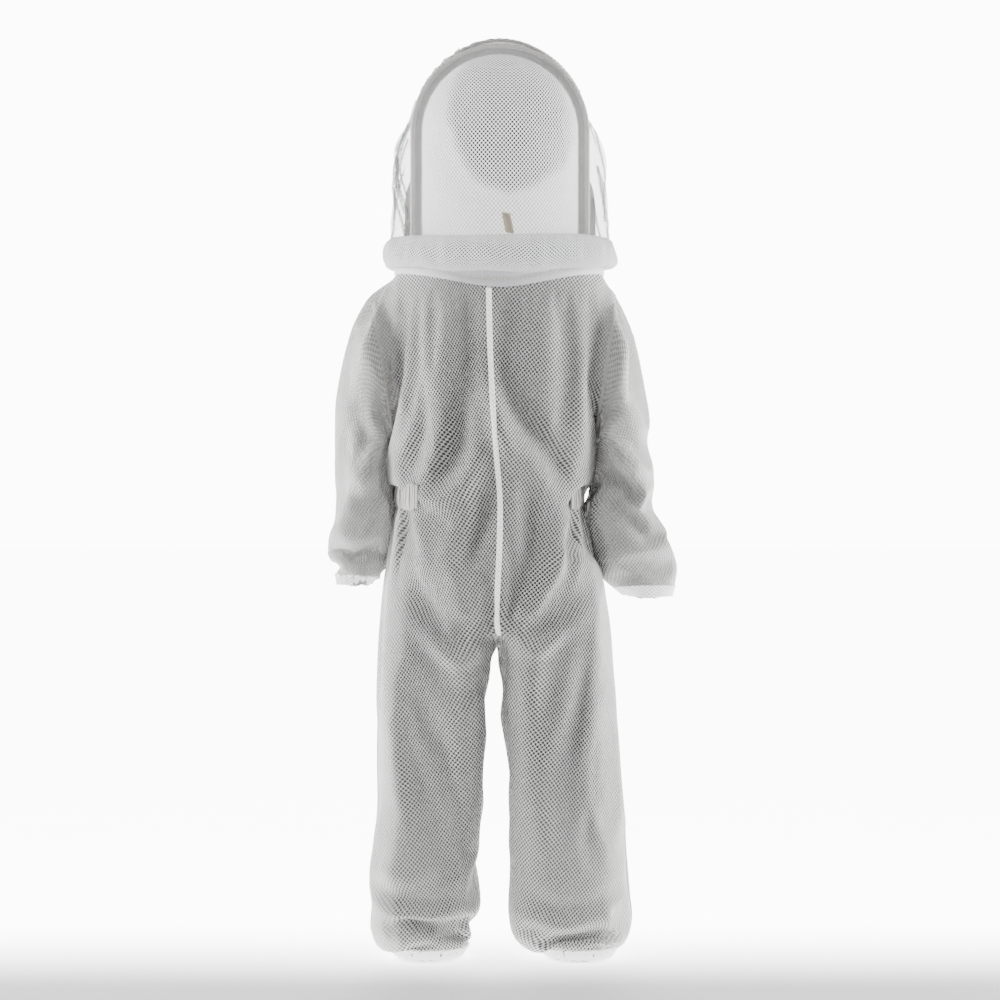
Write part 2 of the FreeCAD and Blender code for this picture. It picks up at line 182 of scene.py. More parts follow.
def legForm(side):
    sign = 1 if side == "left" else -1
    rings = []
    for z in np.linspace(0, 555, 110):
        outer, inner = curveAt(legs[side]["outer"], z), curveAt(legs[side]["inner"], z)
        rings.append(levelRing(z, sign * (outer + inner) / 2, (outer - inner) / 2, curveAt(legs["front"], z),
                               curveAt(legs["back"], z), 2.4, 100))
    return closedTube("legForm", rings)


def sleeveForm(side):
    sign = 1 if side == "left" else -1
    keys = sleeves[side]
    steps = np.linspace(0, len(keys) - 1, 80)
    columns = [curveAt([(i, k[j]) for i, k in enumerate(keys)], steps) for j in range(6)]
    rings = []
    for xIn, zIn, xOut, zOut, yMid, depth in zip(*columns):
        ring = []
        for i in range(72):
            angle = 2 * math.pi * i / 72
            across = 0.5 - 0.5 * math.cos(angle)
            ring.append(place(sign * (xIn + (xOut - xIn) * across), yMid + depth * math.sin(angle),
                              zIn + (zOut - zIn) * across))
        rings.append(ring)
    return closedTube("sleeveForm", rings)


def joined(parts):
    bpy.ops.object.select_all(action="DESELECT")
    for part in parts:
        part.select_set(True)
    bpy.context.view_layer.objects.active = parts[0]
    bpy.ops.object.join()
    return parts[0]


def remeshed(piece, voxel):
    modifier = piece.modifiers.new("one skin", "REMESH")
    modifier.mode = "VOXEL"
    modifier.voxel_size = voxel
    depsgraph = bpy.context.evaluated_depsgraph_get()
    mesh = bpy.data.meshes.new_from_object(piece.evaluated_get(depsgraph))
    piece.modifiers.clear()
    piece.data = mesh
    return piece

# Ridges (+) and valleys (-) on the back: path of x, z in mm, half width, height in mm.
backFolds = [
    # long drape from the spine to the right waist, and the ridge under it
    ([(2, 835), (-20, 765), (-62, 708), (-92, 650)], 15, -11),
    ([(0, 800), (-8, 720), (-50, 672), (-88, 638)], 16, 8),
    # pulls from the left elastic towards the spine
    ([(44, 790), (52, 712), (82, 652)], 15, -9),
    ([(70, 745), (88, 690), (112, 648)], 11, 6),
    ([(98, 760), (112, 700), (128, 655)], 13, -9),
    ([(14, 715), (44, 656), (82, 637), (130, 636)], 12, 10),
    ([(22, 655), (26, 600), (46, 545)], 16, -8),
    ([(136, 625), (116, 600), (96, 560)], 12, 5),
    ([(120, 625), (84, 612), (60, 596)], 10, -4),
    # spine stands up as a soft ridge that leans to the right below the waist
    ([(5, 900), (3, 800), (-6, 740), (-16, 660), (-14, 580), (-2, 500)], 12, 6),
    ([(-30, 640), (-36, 580), (-30, 520)], 14, -6),
    # pulls from the right elastic
    ([(-100, 625), (-80, 590), (-76, 520)], 13, 7),
    ([(-112, 622), (-104, 570), (-100, 510)], 9, -6),
    ([(-96, 650), (-104, 710), (-104, 790), (-122, 862)], 10, 7),
    ([(-84, 670), (-86, 740), (-92, 800)], 12, -5),
    # shoulder blades
    ([(60, 890), (70, 820), (66, 760)], 30, 5),
    ([(-55, 890), (-66, 830), (-70, 770)], 30, 5),
    ([(128, 905), (118, 840), (112, 770)], 14, -6),
    # seat, and the tuck under it
    ([(130, 545), (70, 560), (30, 530)], 26, 10),
    ([(-126, 540), (-75, 552), (-34, 520)], 26, 9),
    ([(4, 486), (52, 470), (104, 492), (140, 520)], 20, -13),
    ([(-4, 486), (-44, 474), (-88, 486), (-124, 512)], 18, -12),
    ([(10, 452), (60, 430), (100, 440)], 14, 6),
    ([(20, 430), (64, 410), (110, 424), (132, 452)], 12, -6),
    ([(12, 405), (50, 385), (100, 392)], 12, -7),
    ([(-16, 455), (-60, 446), (-104, 470)], 13, 6),
    ([(-20, 420), (-70, 428), (-120, 455)], 12, -5),
    # trouser backs
    ([(-110, 430), (-96, 360), (-70, 300)], 15, 6),
    ([(-130, 420), (-118, 350), (-104, 290)], 12, -5),
    ([(120, 380), (100, 330), (60, 300)], 16, -5),
    ([(140, 300), (126, 240), (110, 190)], 15, 5),
    ([(60, 280), (50, 220), (64, 160)], 16, -5),
    ([(-60, 250), (-64, 200), (-50, 150)], 16, 5),
    ([(-130, 240), (-122, 190), (-136, 140)], 14, -5),
    # cloth stacks above the hems
    ([(168, 128), (130, 108), (88, 104), (50, 116)], 10, -9),
    ([(166, 108), (130, 90), (84, 82), (44, 92)], 11, 8),
    ([(120, 84), (94, 66), (66, 70)], 10, -10),
    ([(160, 150), (120, 140), (74, 150)], 12, 7),
    ([(-30, 120), (-80, 96), (-130, 104), (-168, 128)], 11, -7),
    ([(-26, 90), (-80, 74), (-136, 84)], 11, 6),
    ([(-60, 52), (-104, 50), (-140, 62)], 9, -7),
]
sleeveFolds = [
    # left sleeve, then right
    ([(176, 900), (160, 850), (152, 790), (150, 740)], 12, -12),
    ([(206, 870), (182, 815), (160, 770), (172, 712)], 12, 8),
    ([(226, 820), (208, 770), (200, 716)], 12, -7),
    ([(215, 735), (186, 722), (162, 726)], 12, -7),
    ([(228, 690), (196, 668), (166, 676)], 13, 6),
    ([(236, 650), (200, 640), (166, 652)], 11, -8),
    ([(240, 610), (210, 590), (172, 604)], 13, 6),
    ([(238, 568), (206, 556), (178, 566)], 8, -4),
    ([(-138, 892), (-172, 838), (-168, 795), (-154, 756)], 12, 11),
    ([(-124, 868), (-140, 820), (-138, 770), (-130, 735)], 13, -12),
    ([(-190, 880), (-200, 820), (-190, 760)], 16, -6),
    ([(-150, 700), (-182, 690), (-216, 678)], 12, 8),
    ([(-134, 680), (-160, 660), (-200, 640)], 14, -11),
    ([(-150, 640), (-186, 612), (-204, 588)], 12, -8),
    ([(-160, 610), (-200, 640), (-224, 668)], 12, 6),
    ([(-226, 730), (-196, 716), (-160, 728)], 14, -6),
    ([(-170, 560), (-205, 560), (-236, 572)], 12, 4),
]
frontFolds = [
    ([(10, 470), (60, 500), (110, 520)], 16, -8),
    ([(-10, 470), (-60, 500), (-110, 515)], 16, -8),
    ([(130, 628), (80, 660), (50, 720)], 14, 6),
    ([(-110, 632), (-75, 670), (-50, 730)], 14, 6),
    ([(128, 616), (90, 570), (70, 520)], 13, -6),
    ([(-108, 620), (-80, 570), (-64, 520)], 13, -6),
    ([(20, 430), (70, 400), (120, 412)], 14, -6),
    ([(-20, 430), (-70, 404), (-124, 416)], 14, -6),
    ([(30, 330), (80, 316), (140, 336)], 13, -6),
    ([(-20, 326), (-80, 312), (-150, 330)], 13, -6),
    ([(40, 110), (90, 92), (150, 112)], 12, -8),
    ([(-30, 112), (-90, 92), (-160, 112)], 12, -8),
    ([(100, 900), (80, 820), (60, 760)], 22, 5),
    ([(-96, 900), (-76, 820), (-58, 760)], 22, 5),
]


def foldHeight(x, z, path, width):
    # 1 on the path, falling away across it, and tapering to nothing at its ends
    nearest = np.full(len(x), 1e9)
    along = np.zeros(len(x))
    lengths = [math.dist(a, b) for a, b in zip(path, path[1:])]
    total = sum(lengths)
    walked = 0.0
    for (a, b), length in zip(zip(path, path[1:]), lengths):
        ux, uz = (b[0] - a[0]) / length, (b[1] - a[1]) / length
        t = np.clip((x - a[0]) * ux + (z - a[1]) * uz, 0, length)
        distance = np.hypot(x - a[0] - ux * t, z - a[1] - uz * t)
        closer = distance < nearest
        nearest = np.where(closer, distance, nearest)
        along = np.where(closer, (walked + t) / total, along)
        walked += length
    return np.exp(-(nearest / width) ** 2) * np.sin(math.pi * np.clip(along, 0.02, 0.98)) ** 0.6


def coordinates(mesh):
    flat = np.empty(len(mesh.vertices) * 3)
    mesh.vertices.foreach_get("co", flat)
    return flat.reshape(-1, 3)


def normalsOf(mesh):
    flat = np.empty(len(mesh.vertices) * 3)
    mesh.vertices.foreach_get("normal", flat)
    return flat.reshape(-1, 3)


def setCoordinates(mesh, co):
    mesh.vertices.foreach_set("co", co.ravel())
    mesh.update()


def relax(mesh, weight, rounds):
    # evens the surface out where weight is 1
    edges = np.empty(len(mesh.edges) * 2, int)
    mesh.edges.foreach_get("vertices", edges)
    a, b = edges.reshape(-1, 2).T
    co = coordinates(mesh)
    count = np.bincount(a, minlength=len(co)) + np.bincount(b, minlength=len(co))
    count = np.maximum(count, 1)[:, None]
    for _ in range(rounds):
        total = np.zeros_like(co)
        for axis in range(3):
            total[:, axis] = (np.bincount(a, co[b, axis], len(co)) + np.bincount(b, co[a, axis], len(co)))
        co += (total / count - co) * 0.6 * weight[:, None]
    setCoordinates(mesh, co)


def addFolds(mesh):
    co, normal = coordinates(mesh), normalsOf(mesh)
    x, y, z = co[:, 0] * 1000, (co[:, 1] - midY) * 1000, co[:, 2] * 1000
    facingBack = np.clip(normal[:, 1] * 2.0 + 0.2, 0, 1)
    facingFront = np.clip(-normal[:, 1] * 2.0 + 0.2, 0, 1)
    onSleeve = np.clip((np.abs(x) - 128) / 24, 0, 1) * np.clip((z - 480) / 30, 0, 1)
    height = np.zeros(len(x))
    strength = 1.45
    for path, width, amount in backFolds:
        height += amount * foldHeight(x, z, path, width) * facingBack * (1 - onSleeve * (z > 560))
    for path, width, amount in sleeveFolds:
        height += amount * foldHeight(x, z, path, width) * facingBack * onSleeve
        height += 0.7 * amount * foldHeight(x + 6, z + 14, path, width) * facingFront * onSleeve
    for path, width, amount in frontFolds:
        height += amount * foldHeight(x, z, path, width) * facingFront * (1 - onSleeve * (z > 560))
    # three-layer cloth is springy, so every part of it rolls a little
    roll = (np.sin(x / 31 + 1.3 * np.sin(z / 57)) * np.sin(z / 43 + 1.1 * np.sin(y / 37 + 0.6))
            + 0.6 * np.sin(x / 17 + z / 23 + 1.2 * np.sin(z / 29 + y / 41)))
    height += 0.9 * roll
    setCoordinates(mesh, co + normal * (height * strength / 1000)[:, None])


def gatherWaist(mesh):
    # the side elastics pull the cloth into short upright ribs
    co, normal = coordinates(mesh), normalsOf(mesh)
    x, y, z = co[:, 0] * 1000, (co[:, 1] - midY) * 1000, co[:, 2] * 1000
    band = np.exp(-((z - waistZ) / 20) ** 4)
    near = np.exp(-((z - waistZ) / 42) ** 2)
    leftSide = (x > 0) * np.exp(-(np.abs(y - 22) / 48) ** 4) * (x < 165)
    rightSide = (x < 0) * np.exp(-(np.abs(y - 22) / 48) ** 4) * (x > -135)
    sideness = (leftSide + rightSide) * (np.abs(normal[:, 0]) > 0.15)
    ribs = np.sin(y / 3.2) * 1.6 * band + np.sin(y / 6.5 + 0.5) * 2.2 * near
    setCoordinates(mesh, co + normal * ((ribs - 9.0 * band) * sideness / 1000)[:, None])


settle = {
    "voxel": 0.0070,
    "frames": 18,
    "grow": 0.03,          # the cut is this much larger than the form, so it buckles
    "hold": 0.08,          # how hard the form holds the cloth away from the seams
    "gravity": 0.3,
    "bending": 8.0,
    "cap": 0.022,          # metres a point may move
}
waistZ = 631.0


def holdWeights(mesh):
    co = coordinates(mesh)
    x, y, z = co[:, 0] * 1000, (co[:, 1] - midY) * 1000, co[:, 2] * 1000
    weight = np.full(len(co), settle["hold"])
    neck = np.clip((z - 890) / 25, 0, 1) * (np.abs(x) < 158)
    atSide = (np.abs(y - 10) < 40) * (np.abs(x) > 100) * (np.abs(x) < 158)
    waist = 0.9 * np.clip(1 - np.abs(z - waistZ) / 26, 0, 1) * atSide
    hem = np.clip(1 - z / 34, 0, 1)
    cuff = np.clip((530 - z) / 30, 0, 1) * (z > 470) * (np.abs(x) > 182)
    seam = 0.35 * (np.abs(x) < 6) * (y > 0) * (z > 480)
    for part in (neck, waist, hem, cuff, seam):
        weight = np.maximum(weight, part)
    return weight


def settled(piece):
    # cloth simulation over the form: springs to the form keep the outline
    start = coordinates(piece.data)
    group = piece.vertex_groups.new(name="hold")
    for index, weight in enumerate(holdWeights(piece.data)):
        group.add([index], float(weight), "REPLACE")
    modifier = piece.modifiers.new("settle", "CLOTH")
    cloth = modifier.settings
    cloth.quality = 5
    cloth.mass = 0.3
    cloth.tension_stiffness = cloth.compression_stiffness = 15
    cloth.shear_stiffness = 5
    cloth.bending_stiffness = settle["bending"]
    cloth.air_damping = 1
    cloth.vertex_group_mass = "hold"
    cloth.shrink_min = -settle["grow"]
    cloth.effector_weights.gravity = settle["gravity"]
    modifier.collision_settings.use_collision = False
    modifier.collision_settings.use_self_collision = False
    modifier.point_cache.frame_start = 1
    modifier.point_cache.frame_end = settle["frames"]
    for step in range(1, settle["frames"] + 1):
        bpy.context.scene.frame_set(step)
    depsgraph = bpy.context.evaluated_depsgraph_get()
    mesh = bpy.data.meshes.new_from_object(piece.evaluated_get(depsgraph))
    piece.modifiers.clear()
    bpy.context.scene.frame_set(1)
    piece.data = mesh
    moved = coordinates(mesh) - start
    length = np.linalg.norm(moved, axis=1)
    moved *= np.minimum(1, settle["cap"] / np.maximum(length, 1e-9))[:, None]
    setCoordinates(mesh, start + moved)
    print("cloth settled, mean move mm", round(float(length.mean()) * 1000, 1))


def cutAway(piece, keep):
    # drops the faces whose middle, in suit mm, fails keep(x, y, z, normal)
    mesh = bmesh.new()
    mesh.from_mesh(piece.data)
    gone = []
    for face in mesh.faces:
        c = face.calc_center_median()
        if not keep(c.x * 1000, (c.y - midY) * 1000, c.z * 1000, face.normal):
            gone.append(face)
    bmesh.ops.delete(mesh, geom=gone, context="FACES")
    mesh.to_mesh(piece.data)
    mesh.free()


def subdivided(piece, levels=1):
    modifier = piece.modifiers.new("finer", "SUBSURF")
    modifier.levels = modifier.render_levels = levels
    depsgraph = bpy.context.evaluated_depsgraph_get()
    mesh = bpy.data.meshes.new_from_object(piece.evaluated_get(depsgraph))
    piece.modifiers.clear()
    piece.data = mesh


def smoothShaded(piece):
    for polygon in piece.data.polygons:
        polygon.use_smooth = True


def neckSeamZ(x):
    # the neck seam dips at the back and at the throat
    return 1331 - math.sqrt(420 ** 2 - min(abs(x), 150) ** 2)


parting = {
    "shift": 30.0,         # mm the sleeves stand away while the skin is made, so they don't fuse to the body
    "sleeveTop": 770.0, "sleeveRun": 70.0,
    "legShift": 9.0,       # mm each leg stands away for the same reason
    "legTop": 462.0, "legRun": 24.0,
    "armpitZ": {"left": 742.0, "right": 744.0},
    "armpitX": {"left": 150.0, "right": 136.0},
    "shoulderX": {"left": 176.0, "right": 160.0},
}


def partingShift(z):
    t = np.clip((parting["sleeveTop"] - z) / parting["sleeveRun"], 0, 1)
    return parting["shift"] * t * t * (3 - 2 * t)


def legShift(z):
    t = np.clip((parting["legTop"] - z) / parting["legRun"], 0, 1)
    return parting["legShift"] * t * t * (3 - 2 * t)


def bodySkin():
    sleeveForms = [sleeveForm("left"), sleeveForm("right")]
    legForms = [legForm("left"), legForm("right")]
    for form, sign in zip(legForms, (1, -1)):
        co = coordinates(form.data)
        co[:, 0] += sign * legShift(co[:, 2] * 1000) / 1000
        setCoordinates(form.data, co)
    for form, sign in zip(sleeveForms, (1, -1)):
        co = coordinates(form.data)
        co[:, 0] += sign * partingShift(co[:, 2] * 1000) / 1000
        setCoordinates(form.data, co)
    skin = remeshed(joined([torsoForm()] + legForms + sleeveForms), settle["voxel"])
    co = coordinates(skin.data)
    x, z = co[:, 0] * 1000, co[:, 2] * 1000
    group = skin.vertex_groups.new(name="sleeve")
    for side, sign in (("left", 1), ("right", -1)):
        edge = curveAt(torso[side], z) + 2 + partingShift(z) * 0.5
        onSleeve = (x * sign > edge) & (z < 752) & (z > 470)
        group.add(np.nonzero(onSleeve)[0].tolist(), 1.0, "REPLACE")
        share = np.where(z < 752, onSleeve, np.clip((x * sign - edge) / 25, 0, 1))
        co[:, 0] -= sign * share * partingShift(z) * (z > 470) / 1000
    co[:, 0] -= np.tanh((x - 4) / 5) * legShift(z) / 1000
    setCoordinates(skin.data, co)
    x = co[:, 0] * 1000
    seat = np.exp(-((z - 478) / 40) ** 2) * (np.abs(x) < 190)
    shoulder = np.exp(-((np.abs(x) - 150) / 26) ** 2) * np.clip((z - 740) / 30, 0, 1) * (z < 930)
    relax(skin.data, np.maximum(seat, shoulder), 22)
    addFolds(skin.data)
    gatherWaist(skin.data)
    relax(skin.data, np.full(len(co), 0.5), 2)
    settled(skin)
    closeArms(skin)
    subdivided(skin)
    return skin


def closeArms(skin):
    # brings each sleeve's inner side back against the body, so that no daylight shows between them
    co = coordinates(skin.data)
    flag = skin.vertex_groups["sleeve"].index
    onSleeve = np.array([any(g.group == flag and g.weight > 0.5 for g in v.groups)
                         for v in skin.data.vertices])
    z = co[:, 2] * 1000
    levels = np.arange(505, 752, 9)
    for sign in (1, -1):
        x = co[:, 0] * 1000 * sign
        knots = []
        for level in levels:
            near = np.abs(z - level) < 9
            body = x[near & ~onSleeve & (x > 0)]
            sleeve = x[near & onSleeve & (x > 0)]
            if len(body) and len(sleeve):
                knots.append((level, max(-14.0, min(34.0, sleeve.min() - body.max() + 7.0)), sleeve.min(),
                              sleeve.max()))
        gaps = np.array([k[1] for k in knots])
        zs = np.array([k[0] for k in knots])
        # near the armpit the web between the two hides the gap
        gaps = np.where(zs > 712, gaps[zs <= 712][-1], gaps)
        gaps = np.maximum(gaps, np.convolve(np.pad(gaps, 1, mode="edge"), np.ones(3) / 3, mode="valid"))
        gap = np.interp(z, zs, gaps) * np.clip((z - 498) / 25, 0, 1)
        low, high = np.interp(z, zs, [k[2] for k in knots]), np.interp(z, zs, [k[3] for k in knots])
        share = np.clip(1 - (x - low) / np.maximum((high - low) * 0.75, 1), 0, 1)
        co[:, 0] -= sign * np.where(onSleeve & (x > 0), gap * share, 0) / 1000
    setCoordinates(skin.data, co)


def cutSleeves(skin):
    # the armhole seam: a leaning plane from the armpit to the point of the shoulder
    mesh = bmesh.new()
    mesh.from_mesh(skin.data)
    weights = mesh.verts.layers.deform.active
    flag = skin.vertex_groups["sleeve"].index
    planes = {}
    for side, sign in (("left", 1), ("right", -1)):
        low = place(sign * parting["armpitX"][side], 0, parting["armpitZ"][side])
        high = place(sign * parting["shoulderX"][side], 0, 915)
        run = high - low
        normal = Vector((run.z * sign, 0, -run.x * sign)).normalized()
        planes[side] = (low, normal)
        zone = [f for f in mesh.faces if f.calc_center_median().z > 0.735 and
                f.calc_center_median().x * sign > 0.1]
        geometry = zone + list({e for f in zone for e in f.edges}) + list({v for f in zone for v in f.verts})
        bmesh.ops.bisect_plane(mesh, geom=geometry, dist=1e-6, plane_co=low, plane_no=normal)
    sides = {"left": set(), "right": set()}
    for face in mesh.faces:
        c = face.calc_center_median()
        side = "left" if c.x > 0 else "right"
        low, normal = planes[side]
        flagged = sum(v[weights].get(flag, 0) for v in face.verts) / len(face.verts) > 0.5
        past = (c - low).dot(normal)
        beyond = past > 0 and (c.z > 0.742 or (c.z > 0.70 and past > 0.012))
        if flagged or beyond:
            sides[side].add(face.index)
    whole = bpy.data.meshes.new("whole")
    mesh.to_mesh(whole)
    mesh.free()
    pieces = {}
    for side, wanted in (("left", sides["left"]), ("right", sides["right"]), ("body", None)):
        piece = bpy.data.objects.new(side, whole.copy())
        bpy.context.collection.objects.link(piece)
        part = bmesh.new()
        part.from_mesh(piece.data)
        part.faces.ensure_lookup_table()
        both = sides["left"] | sides["right"]
        gone = [f for f in part.faces if (f.index in both if wanted is None else f.index not in wanted)]
        bmesh.ops.delete(part, geom=gone, context="FACES")
        part.to_mesh(piece.data)
        part.free()
        pieces[side] = piece
    bpy.data.objects.remove(skin)
    return pieces


def arcTable(power, aspect):
    # arc length from the back's middle to each angle, for a ring of half width 1
    t = np.linspace(0, math.pi / 2, 200)
    px = np.sin(t) ** (2 / power)
    py = np.cos(t) ** (2 / power) * aspect
    length = np.concatenate([[0], np.cumsum(np.hypot(np.diff(px), np.diff(py)))])
    return np.arctan2(px, py / aspect), length


def aroundFrom(dx, dy, halfWidth, depth, power=2.6):
    # length round a ring from its back or front middle, signed like dx
    angles, lengths = arcTable(power, 0.75)
    angle = np.arctan2(np.abs(dx) / halfWidth, np.maximum(np.abs(dy) / depth, 1e-6))
    return np.sign(dx) * halfWidth * np.interp(angle, angles, lengths)


def panelMap(x, y, z, side, facing):
    # weave coordinates in metres, running on from the torso into the leg
    sign = 1 if side == "left" else -1
    width = curveAt(torso[side], z)
    onTorso = aroundFrom(x, y, width, curveAt(torso[facing], z))
    outer, inner = curveAt(legs[side]["outer"], z), curveAt(legs[side]["inner"], z)
    middle = sign * (outer + inner) / 2
    onLeg = middle + aroundFrom(x - middle, y, (outer - inner) / 2, curveAt(legs[facing], z), 2.4)
    share = np.clip((z - 430) / 80, 0, 1)
    share = share * share * (3 - 2 * share)
    # above the armpits the cloth runs on flat into the sleeve
    flat = np.clip((z - 715) / 70, 0, 1)
    onTorso = onTorso * (1 - flat) + x * 1.06 * flat
    return (onTorso * share + onLeg * (1 - share)) / 1000, z / 1000


def spineX(z):
    # the spine seam wanders to the left at the shoulders
    return curveAt([(910, 15), (820, 13), (760, 10), (690, 5), (640, 1), (600, -1), (540, 2), (470, 4),
                    (430, 0)], z)


def setWeave(mesh, u, v):
    layer = mesh.uv_layers.new(name="weave")
    corner = np.empty(len(mesh.loops), int)
    mesh.loops.foreach_get("vertex_index", corner)
    layer.data.foreach_set("uv", np.stack([u[corner], v[corner]], axis=1).ravel())


def bodyPanels(skin):
    # the skin is cut at the spine, the sides and the inseams into four lengths of cloth
    cutAway(skin, lambda x, y, z, n: z < neckSeamZ(x) + 5 and not (z < 7 and abs(n.z) > 0.75))
    mesh = bmesh.new()
    mesh.from_mesh(skin.data)
    for spot, axis in (((0, 0, 0), (1, 0, 0)), ((0, midY, 0), (0, 1, 0))):
        geometry = mesh.verts[:] + mesh.edges[:] + mesh.faces[:]
        bmesh.ops.bisect_plane(mesh, geom=geometry, dist=1e-6, plane_co=spot, plane_no=axis)
    whole = bpy.data.meshes.new("whole")
    mesh.to_mesh(whole)
    mesh.free()
    panels = {}
    for facing in ("back", "front"):
        for side in ("left", "right"):
            piece = bpy.data.objects.new(facing + "Cloth" + side.capitalize(), whole.copy())
            bpy.context.collection.objects.link(piece)
            sx, sy = (1 if side == "left" else -1), (1 if facing == "back" else -1)
            cutAway(piece, lambda x, y, z, n: x * sx > 0 and y * sy > 0)
            part = bmesh.new()
            part.from_mesh(piece.data)
            loose = [v for v in part.verts if not v.link_faces]
            bmesh.ops.delete(part, geom=loose, context="VERTS")
            part.to_mesh(piece.data)
            part.free()
            co = coordinates(piece.data)
            u, v = panelMap(co[:, 0] * 1000, (co[:, 1] - midY) * 1000, co[:, 2] * 1000, side, facing)
            setWeave(piece.data, u, v)
            if facing == "back":
                z = co[:, 2] * 1000
                near = np.exp(-(co[:, 0] / 0.07) ** 2) * np.clip(((co[:, 1] - midY) * 1000 - 40) / 40, 0, 1)
                co[:, 0] += spineX(z) * near * (z > 430) / 1000
                setCoordinates(piece.data, co)
            panels[facing, side] = piece
    bpy.data.objects.remove(skin)
    return panels


def thickened(piece, mm, offset=-1.0):
    modifier = piece.modifiers.new("cloth thickness", "SOLIDIFY")
    modifier.thickness = mm / 1000
    modifier.offset = offset
    modifier.use_even_offset = False


def finishPiece(piece, material, thickness=0.0):
    piece.data.materials.clear()
    piece.data.materials.append(material)
    smoothShaded(piece)
    if thickness:
        thickened(piece, thickness)
    return piece


def strip(name, points, normals, profile, material, closed=False):
    # sweeps a closed (across, out) profile in mm along points; across is to the right of travel
    points = [Vector(p) for p in points]
    count = len(points)
    verts, along, walked = [], [], 0.0
    for i, (point, normal) in enumerate(zip(points, normals)):
        before = points[i - 1] if closed or i else points[0]
        after = points[(i + 1) % count] if closed or i + 1 < count else points[-1]
        tangent = (after - before).normalized()
        out = Vector(normal)
        out = (out - tangent * out.dot(tangent)).normalized()
        side = tangent.cross(out)
        if i:
            walked += (point - points[i - 1]).length
        along.append(walked)
        section = profile(i / max(count - 1, 1)) if callable(profile) else profile
        verts += [point + side * a / 1000 + out * b / 1000 for a, b in section]
    width = len(section)
    faces = gridFaces(count, width, True)
    if closed:
        last = (count - 1) * width
        faces += [(last + c, last + (c + 1) % width, (c + 1) % width, c) for c in range(width)]
    else:
        faces.append(tuple(range(width))[::-1])
        faces.append(tuple(range((count - 1) * width, count * width)))
    piece = newObject(name, verts, faces, material)
    girth = np.concatenate([[0], np.cumsum([math.dist(section[j], section[(j + 1) % width])
                                            for j in range(width)])]) / 1000
    setWeave(piece.data, np.tile(girth[:width], count), np.repeat(along, width))
    mesh = bmesh.new()
    mesh.from_mesh(piece.data)
    bmesh.ops.recalc_face_normals(mesh, faces=mesh.faces[:])
    mesh.to_mesh(piece.data)
    mesh.free()
    return piece


def tapeProfile(halfWidth, thickness, lift=0.0, crown=0.0):
    # flat tape with rounded edges, its underside sunk into the cloth
    edge = min(thickness, halfWidth) * 0.5
    top = thickness + lift
    return [(-halfWidth, lift - 1.0), (-halfWidth, lift + edge), (-halfWidth + edge, top), (0, top + crown),
            (halfWidth - edge, top), (halfWidth, lift + edge), (halfWidth, lift - 1.0)]


def roundProfile(radius, sides):
    return [(radius * math.cos(2 * math.pi * i / sides), radius * math.sin(2 * math.pi * i / sides))
            for i in range(sides)]


def skinTree(pieces):
    verts, faces = [], []
    for piece in pieces:
        start = len(verts)
        verts += [v.co.copy() for v in piece.data.vertices]
        faces += [tuple(start + i for i in p.vertices) for p in piece.data.polygons]
    return BVHTree.FromPolygons(verts, faces)


def onCloth(tree, x, z, facing):
    # the cloth's outer surface at x, z, seen square on from the back or the front
    sign = 1 if facing == "back" else -1
    spot, normal, _, _ = tree.ray_cast(place(x, sign * 400, z), Vector((0, -sign, 0)))
    if spot is None:
        return place(x, sign * 100, z), Vector((0, sign, 0))
    if normal.y * sign < 0:
        normal = -normal
    return spot, normal


def outward(tree, centre, direction, reach=0.5):
    # the cloth's outer surface in a direction from a point inside it
    direction = Vector(direction).normalized()
    spot, normal, _, _ = tree.ray_cast(centre + direction * reach, -direction)
    if spot is None:
        spot, normal = tree.find_nearest(centre + direction * 0.1)[:2]
    if normal.dot(direction) < 0:
        normal = -normal
    return spot, normal


def evened(vectors, rounds=3, closed=False):
    # takes the jitter out of points or normals along a path
    for _ in range(rounds):
        moved = []
        for i, v in enumerate(vectors):
            before = vectors[i - 1] if closed or i else v
            after = vectors[(i + 1) % len(vectors)] if closed or i + 1 < len(vectors) else v
            moved.append((before + v * 2 + after) / 4)
        vectors = moved
    return vectors


def addNode(tree, kind, inputs=None, **settings):
    # inputs maps a socket's name or number to a value, or to another node's output
    node = tree.nodes.new(kind)
    for key, value in settings.items():
        setattr(node, key, value)
    for key, value in (inputs or {}).items():
        if isinstance(value, bpy.types.NodeSocket):
            tree.links.new(value, node.inputs[key])
        else:
            node.inputs[key].default_value = value
    return node


def newMaterial(name):
    material = bpy.data.materials.new(name)
    material.use_nodes = True
    tree = material.node_tree
    shader = tree.nodes["Principled BSDF"]
    return material, tree, shader


meshCloth = {
    "glow": 1.5,           # painted light: the yarn glows where daylight would come through
    "thread": "#e9e9e7",
    "threadShade": "#d4d4d2",
    # the holes show the grey spacer layer, painted near black as shade from inside the suit
    "hole": "#161717",
    "holeWide": 5.0,       # mm between holes in a row
    "holeTall": 6.2,       # mm between rows that line up
    "roughness": 0.78,
    "bump": 0.9,
    "wearerEdge": (0.158, 0.168),          # metres from the middle where painted backlight turns the holes pale
    "headCentre": (0.012, 0.0, -1.136),    # added to a point, so it is the head's centre turned round
    "headOval": (1.12, 0.0, 1.0),
    "headEdge": (0.113, 0.128),            # metres from the head's centre, where its painted shade gives way to painted backlight
}


